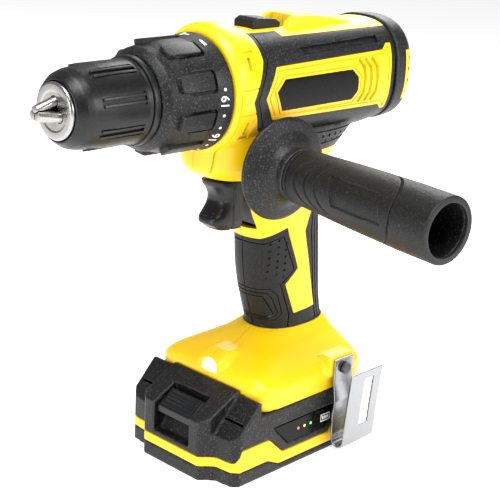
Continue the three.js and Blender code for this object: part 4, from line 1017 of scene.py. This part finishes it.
# %% Chuck sleeve with bars and lands
SLEEVE = [(89.3, 16.9), (89.3, 20.6), (91, 20), (102.6, 20), (110, 19.8), (117.8, 19), (121.6, 18.6),
          (125.4, 17.5),
          (129.2, 14.6), (129.2, 13.7), (122, 13.7), (117.6, 17.2), (89.3, 16.9)]
sleeve = turned("sleeve", SLEEVE, 160, 0.7)
BARS = 8
bar_angles = [360 * (i + 0.35) / BARS for i in range(BARS)]
groove_outline = rounded([(92.5, -3.1), (118.4, -2.9), (118.4, 2.9), (92.5, 3.1), (92.5, -3.1)], 1.2)[:-1]
groove = block("groove", groove_outline, 18.9, 24, "z")
pair = []
for y in (-1.6, 1.6):
    bar = block("bar", [(92, y - 0.8), (117, y - 0.7), (117, y + 0.7), (92, y + 0.8)], 18, 19.9, "z")
    pair.append(apply_modifier(bar, "BEVEL", width=0.3 * MM, segments=2, limit_method="ANGLE"))
combine(sleeve, round_spindle(groove, bar_angles))
combine(sleeve, round_spindle(joined("pair", pair), bar_angles), "UNION")
settle(sleeve, smooth_nylon, "sleeve", "black_plastic", "chuck_sleeve")
ring = turned("ring", [(85.6, 12.4), (85.6, 21.4), (89, 21.4), (89, 12.4), (85.6, 12.4)], 128, 0.8)
settle(ring, smooth_nylon, "chuck", "black_plastic", "chuck_ring")
print("sleeve with", BARS, "grooves:", len(sleeve.data.polygons), "faces")

# %% [markdown]
# ## Chuck body and jaws
# Three hardened jaws slide in slanted channels and meet on the axis. Each is a rod, cut by a wedge of a
# third of a turn, so that the three close against one another.

# %% Chuck body and jaws
body = turned("chuck_core", [
    (86, 5.1), (86, 12), (90.3, 12), (90.3, 16.8), (117, 16.8), (121, 13.3), (130.2, 13.3), (131, 12.5),
    (131, 9.4), (130.6, 9), (130.6, 3.4), (101, 3.4), (101, 5.1), (86, 5.1),
], 128, 0.4)
JAW_LEAN, JAW_TIP, JAW_RADIUS = math.radians(17), 141, 2.6
CHANNEL_RADIUS = 2.9
for i in range(3):
    angle = i * math.tau / 3 + math.pi / 2
    lean = math.sin(JAW_LEAN)
    away = Vector((-math.cos(JAW_LEAN), lean * math.cos(angle), lean * math.sin(angle)))
    tip = Vector((JAW_TIP, math.cos(angle), AXIS_Z + math.sin(angle)))
    combine(body, rod("jaw_channel", CHANNEL_RADIUS, tip - away * 12, tip + away * 60, 48))
    jaw = rod("jaw_steel", JAW_RADIUS, tip - away * 6, tip + away * 29, 48)
    side, depth = 40, math.sqrt(3) * 40
    wedge = block("wedge", [(0.35, 0), (side, depth), (side * 3, 0), (side, -depth)], JAW_TIP - 80, JAW_TIP,
                  "x")
    wedge.matrix_world = Matrix.Translation((0, 0, AXIS_Z * MM)) @ Matrix.Rotation(angle, 4, "X")
    to_origin(wedge, "wedge")
    combine(jaw, wedge, "INTERSECT")
    apply_modifier(jaw, "BEVEL", width=0.15 * MM, segments=2, limit_method="ANGLE")
    settle(jaw, turned_steel, f"jaw_{i + 1}", "bright_steel", f"jaw_{i + 1}")
settle(body, turned_steel, "chuck", "bright_steel", "chuck_body")
print("chuck body:", len(body.data.polygons), "faces")

# %% [markdown]
# ## Side handle
# The core with its flange is turned about the handle's own axis. The grip is rolled, and lines are
# pressed into it: a contour of three nested curves round a plain recessed panel.

# %% Core and grip of the side handle
FLANGE = 33.4
core_profile = [
    (29.2, 4.2), (29.2, 11), (FLANGE - 2.4, 12.5), (FLANGE - 2, 25.4), (FLANGE - 0.6, 26.4),
    (FLANGE + 0.8, 26.4), (FLANGE + 2, 24.8), (FLANGE + 3, 20), (FLANGE + 6, 16), (43, 13.6), (47.2, 13.6),
    (47.2, 12.2), (64.6, 12.4), (95, 13.6), (140.6, 14), (140.6, 12.8), (84.6, 11.2), (64.6, 9), (64.6, 0),
    (53, 0), (53, 4.2), (29.2, 4.2),
]
handle_core = turned("handle_core_skin", core_profile, 128, 0.9, HANDLE_START, handle_axis)
settle(handle_core, black_nylon, "side_handle", "black_plastic", "handle_core")

GRIP_START, GRIP_END = 47.5, 142.6
GRIP_RADII = [(47.5, 13.7), (66.5, 14.4), (85.5, 15.2), (104.5, 15.7), (123.5, 16.1), (142.6, 16.1)]
side_way = handle_axis.cross(Vector((0, 0, 1))).normalized()
top_way = side_way.cross(handle_axis)


def pressed(distance, s):
    """Depth of the pressed lines, s being millimetres round the grip from its panel's middle."""
    slant = distance + 0.35 * s
    if 81 < slant < 113 and abs(s) < 7.2:
        return 1.0
    for arc_at in (56, 63.5, 71):
        if -13 < s < 12 and abs(distance - arc_at - (s / 13) ** 2 * 9) < 0.6:
            return 0.9
    inside = abs(distance - (121 - (abs(s) / 20) ** 3 * 8)) < 0.6 and abs(s) < 24
    return 0.9 if inside or abs(distance - 50.3) < 0.5 else 0.0


def grip_point(u, v):
    distance = GRIP_START + (GRIP_END - GRIP_START) * v
    radius = eased(GRIP_RADII, distance)[0]
    turn = u * math.tau
    end = max(0, distance - (GRIP_END - 1))
    start = max(0, GRIP_START + 1 - distance)
    radius -= (1 - math.sqrt(max(0, 1 - end**2))) + 0.6 * start**2
    facing = math.remainder(turn - math.radians(15), math.tau)
    radius -= pressed(distance, facing * radius)
    outwards = side_way * math.cos(turn) + top_way * math.sin(turn)
    return HANDLE_START + handle_axis * distance + outwards * radius


handle_grip = rolled("handle_grip_skin", grip_point, 256, 280)
combine(handle_grip, turned("grip_bore", [(46, 0), (46, 12.6), (64.6, 12.8), (95, 13.9), (140.9, 14.3),
                                          (140.9, 0)], 96, 0.2,
                            HANDLE_START, handle_axis))
combine(handle_grip, rod("mouth", 13, HANDLE_START + handle_axis * 130, HANDLE_START + handle_axis * 150,
                         64))
apply_modifier(handle_grip, "SMOOTH", factor=0.5, iterations=2)
settle(handle_grip, black_tpe, "side_handle", "black_rubber", "handle_grip")
print("handle grip:", len(handle_grip.data.polygons), "faces")

# %% [markdown]
# ## Trigger and worklight
# The trigger is rolled as upright rings, hollow for the finger and rounded at its front corners. The
# lens is a D-shaped window in the foot's hump, seen lit.

# %% Trigger
trigger_low, trigger_high = box_mm("trigger")
TRIGGER_LOW, TRIGGER_HIGH = trigger_low[2], trigger_high[2]
RINGS = 12
trigger_rings = []
for i in range(RINGS + 1):
    t = i / RINGS
    z = TRIGGER_HIGH - t * (TRIGGER_HIGH - TRIGGER_LOW)
    hollow = 6.3 * math.sin(math.pi * min(1, t * 1.3)) ** 1.2
    front = 34.8 - hollow + 0.4 * t - 5.5 * max(0, t - 0.84) / 0.16 - 1.2 * max(0, 0.08 - t) / 0.08
    trigger_rings.append((z, front, 6, 8.9 - 1.2 * max(0, t - 0.84) / 0.16, 3.2))
trigger = up_grip("trigger_skin", trigger_rings, step=0.5)
combine(trigger, slab("behind", -20, 16, -20, 20, 100, 180))
LINE_DEPTH = 0.7
inner_rings = [(z, front - LINE_DEPTH, rear, half - LINE_DEPTH, power) for z, front, rear, half,
               power in trigger_rings]
keep = up_grip("keep", inner_rings)
combine(trigger, combine(slab("shroud_line", 22.4, 23.3, -20, 20, 100, 180), keep))
soften(trigger, 0.4, 3)
settle(trigger, smooth_nylon, "trigger", "black_plastic", "trigger", angle=60)
print("trigger:", round(TRIGGER_HIGH - TRIGGER_LOW, 1), "mm tall")

# %% Worklight lens
lens = block("lens_skin", LENS_OUTLINE, 15.9, 40, "x")
front_slope = [(10, EDGE + 1), (28.1, EDGE + 1), (27.5, EDGE + 5), (26.2, EDGE + 7.2), (23.6, EDGE + 9),
               (10, EDGE + 9)]
combine(lens, block("front_slope", front_slope, -10, 10), "INTERSECT")
soften(lens, 0.3, 3)
settle(lens, lit_lens, "housing", "clear_lens", "led_lens", angle=60)
print("lens:", len(lens.data.polygons), "faces")

# %% [markdown]
# ## Switches, belt clip and pack
# Their CAD shapes are right, so merged copies are melted a little at the edges.

# %% Refined copies
REFINED = [      # node, finish, body, slot, voxel in millimetres, smoothing passes
    ("direction_bar", smooth_nylon, "direction_slider", "black_plastic", 0.4, 3),
    ("gear_selector", smooth_nylon, "speed_slider", "black_plastic", 0.4, 3),
    ("belt_clip", chromed_steel, "housing", "chromed_steel", 0.3, 3),
    ("belt_clip_screw", black_oxide, "housing", "dark_steel", 0.25, 2),
    ("battery_band", yellow_abs, "battery", "yellow_plastic", 0.6, 2),
    ("battery_lower_case", black_nylon, "battery", "black_plastic", 0.7, 2),
    ("battery_upper_case", black_nylon, "battery", "black_plastic", 0.6, 2),
    ("release_button", smooth_nylon, "release", "black_plastic", 0.4, 3),
    ("indicator_panel", gloss_label, "battery", "black_label", 0.3, 2),
]
RIDGES, RIDGE_PITCH, BUTTON_SLOPE = 5, 1.85, 0.654
for node, finish, body_name, slot, voxel, passes in REFINED:
    piece = soften(copied(node, node + "_skin"), voxel, passes)
    if node == "release_button":
        for i in range(RIDGES):
            x = 50.9 - RIDGE_PITCH * i
            z = 31.4 + (52.6 - x) * BUTTON_SLOPE
            combine(piece, slab("ridge", x - 0.5, x + 0.5, -10.2, 10.2, z - 0.9, z + 3, 0.2))
    settle(piece, finish, body_name, slot, node, angle=60)
    print(node, len(piece.data.polygons), "faces")

# %% [markdown]
# ## Charge lamps
# Three small lamps on the pack show its charge. They are short rods that stand just proud of the panel,
# next to a plain battery mark in white ink.

# %% Charge lamps and battery mark
PANEL_FACE = box_mm("indicator_panel")[1][1]
LAMP_PITCH, PROUD = 5, 0.02
for k, light in enumerate((lit_red, lit_amber, lit_green)):
    x = LAMP_X - LAMP_PITCH * k
    lamp_dot = rod("charge_lamp", 0.8, (x, PANEL_FACE - 0.4, LAMP_Z), (x, PANEL_FACE + PROUD, LAMP_Z), 24)
    settle(lamp_dot, light, "battery", "clear_lens")
mark = line_ring("battery_mark", [(-26.4, 18.2), (-19.4, 18.2), (-19.4, 22), (-26.4, 22)], 0.5,
                 PANEL_FACE - 0.3, PANEL_FACE + PROUD)
settle(mark, white_ink, "battery", "black_label")
for x in (-25.2, -23.4, -21.6):
    bar = slab("battery_mark_bar", x, x + 1.1, PANEL_FACE - 0.3, PANEL_FACE + PROUD, 19.2, 21)
    settle(bar, white_ink, "battery", "black_label")
print("three charge lamps and a battery mark")

# %% [markdown]
# ## What stays from the CAD
# Motor, gears, screws and cells are hidden or seen only through gaps, and keep their CAD shapes.

# %% Finishes for the carried-over nodes
CARRIED = {"bright_steel": turned_steel, "dark_steel": black_oxide, "copper_winding": copper_winding,
           "cell_wrap": cell_sleeve, "circuit_board": solder_mask, "black_plastic": black_nylon,
           "yellow_plastic": yellow_abs, "black_rubber": black_tpe, "black_label": gloss_label,
           "chromed_steel": chromed_steel, "clear_lens": lit_lens}
slots = {part["node"]: part["material_slot"] for part in frame["record"]["subparts"]}
for name, node in frame["nodes"].items():
    node.data.materials.clear()
    node.data.materials.append(CARRIED[slots[name]])
print(len(frame["nodes"]), "CAD nodes have a finish")

# %% Measure the finished model
low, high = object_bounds()
print("model in mm:", [round(v / MM, 1) for v in (*low, *high)])
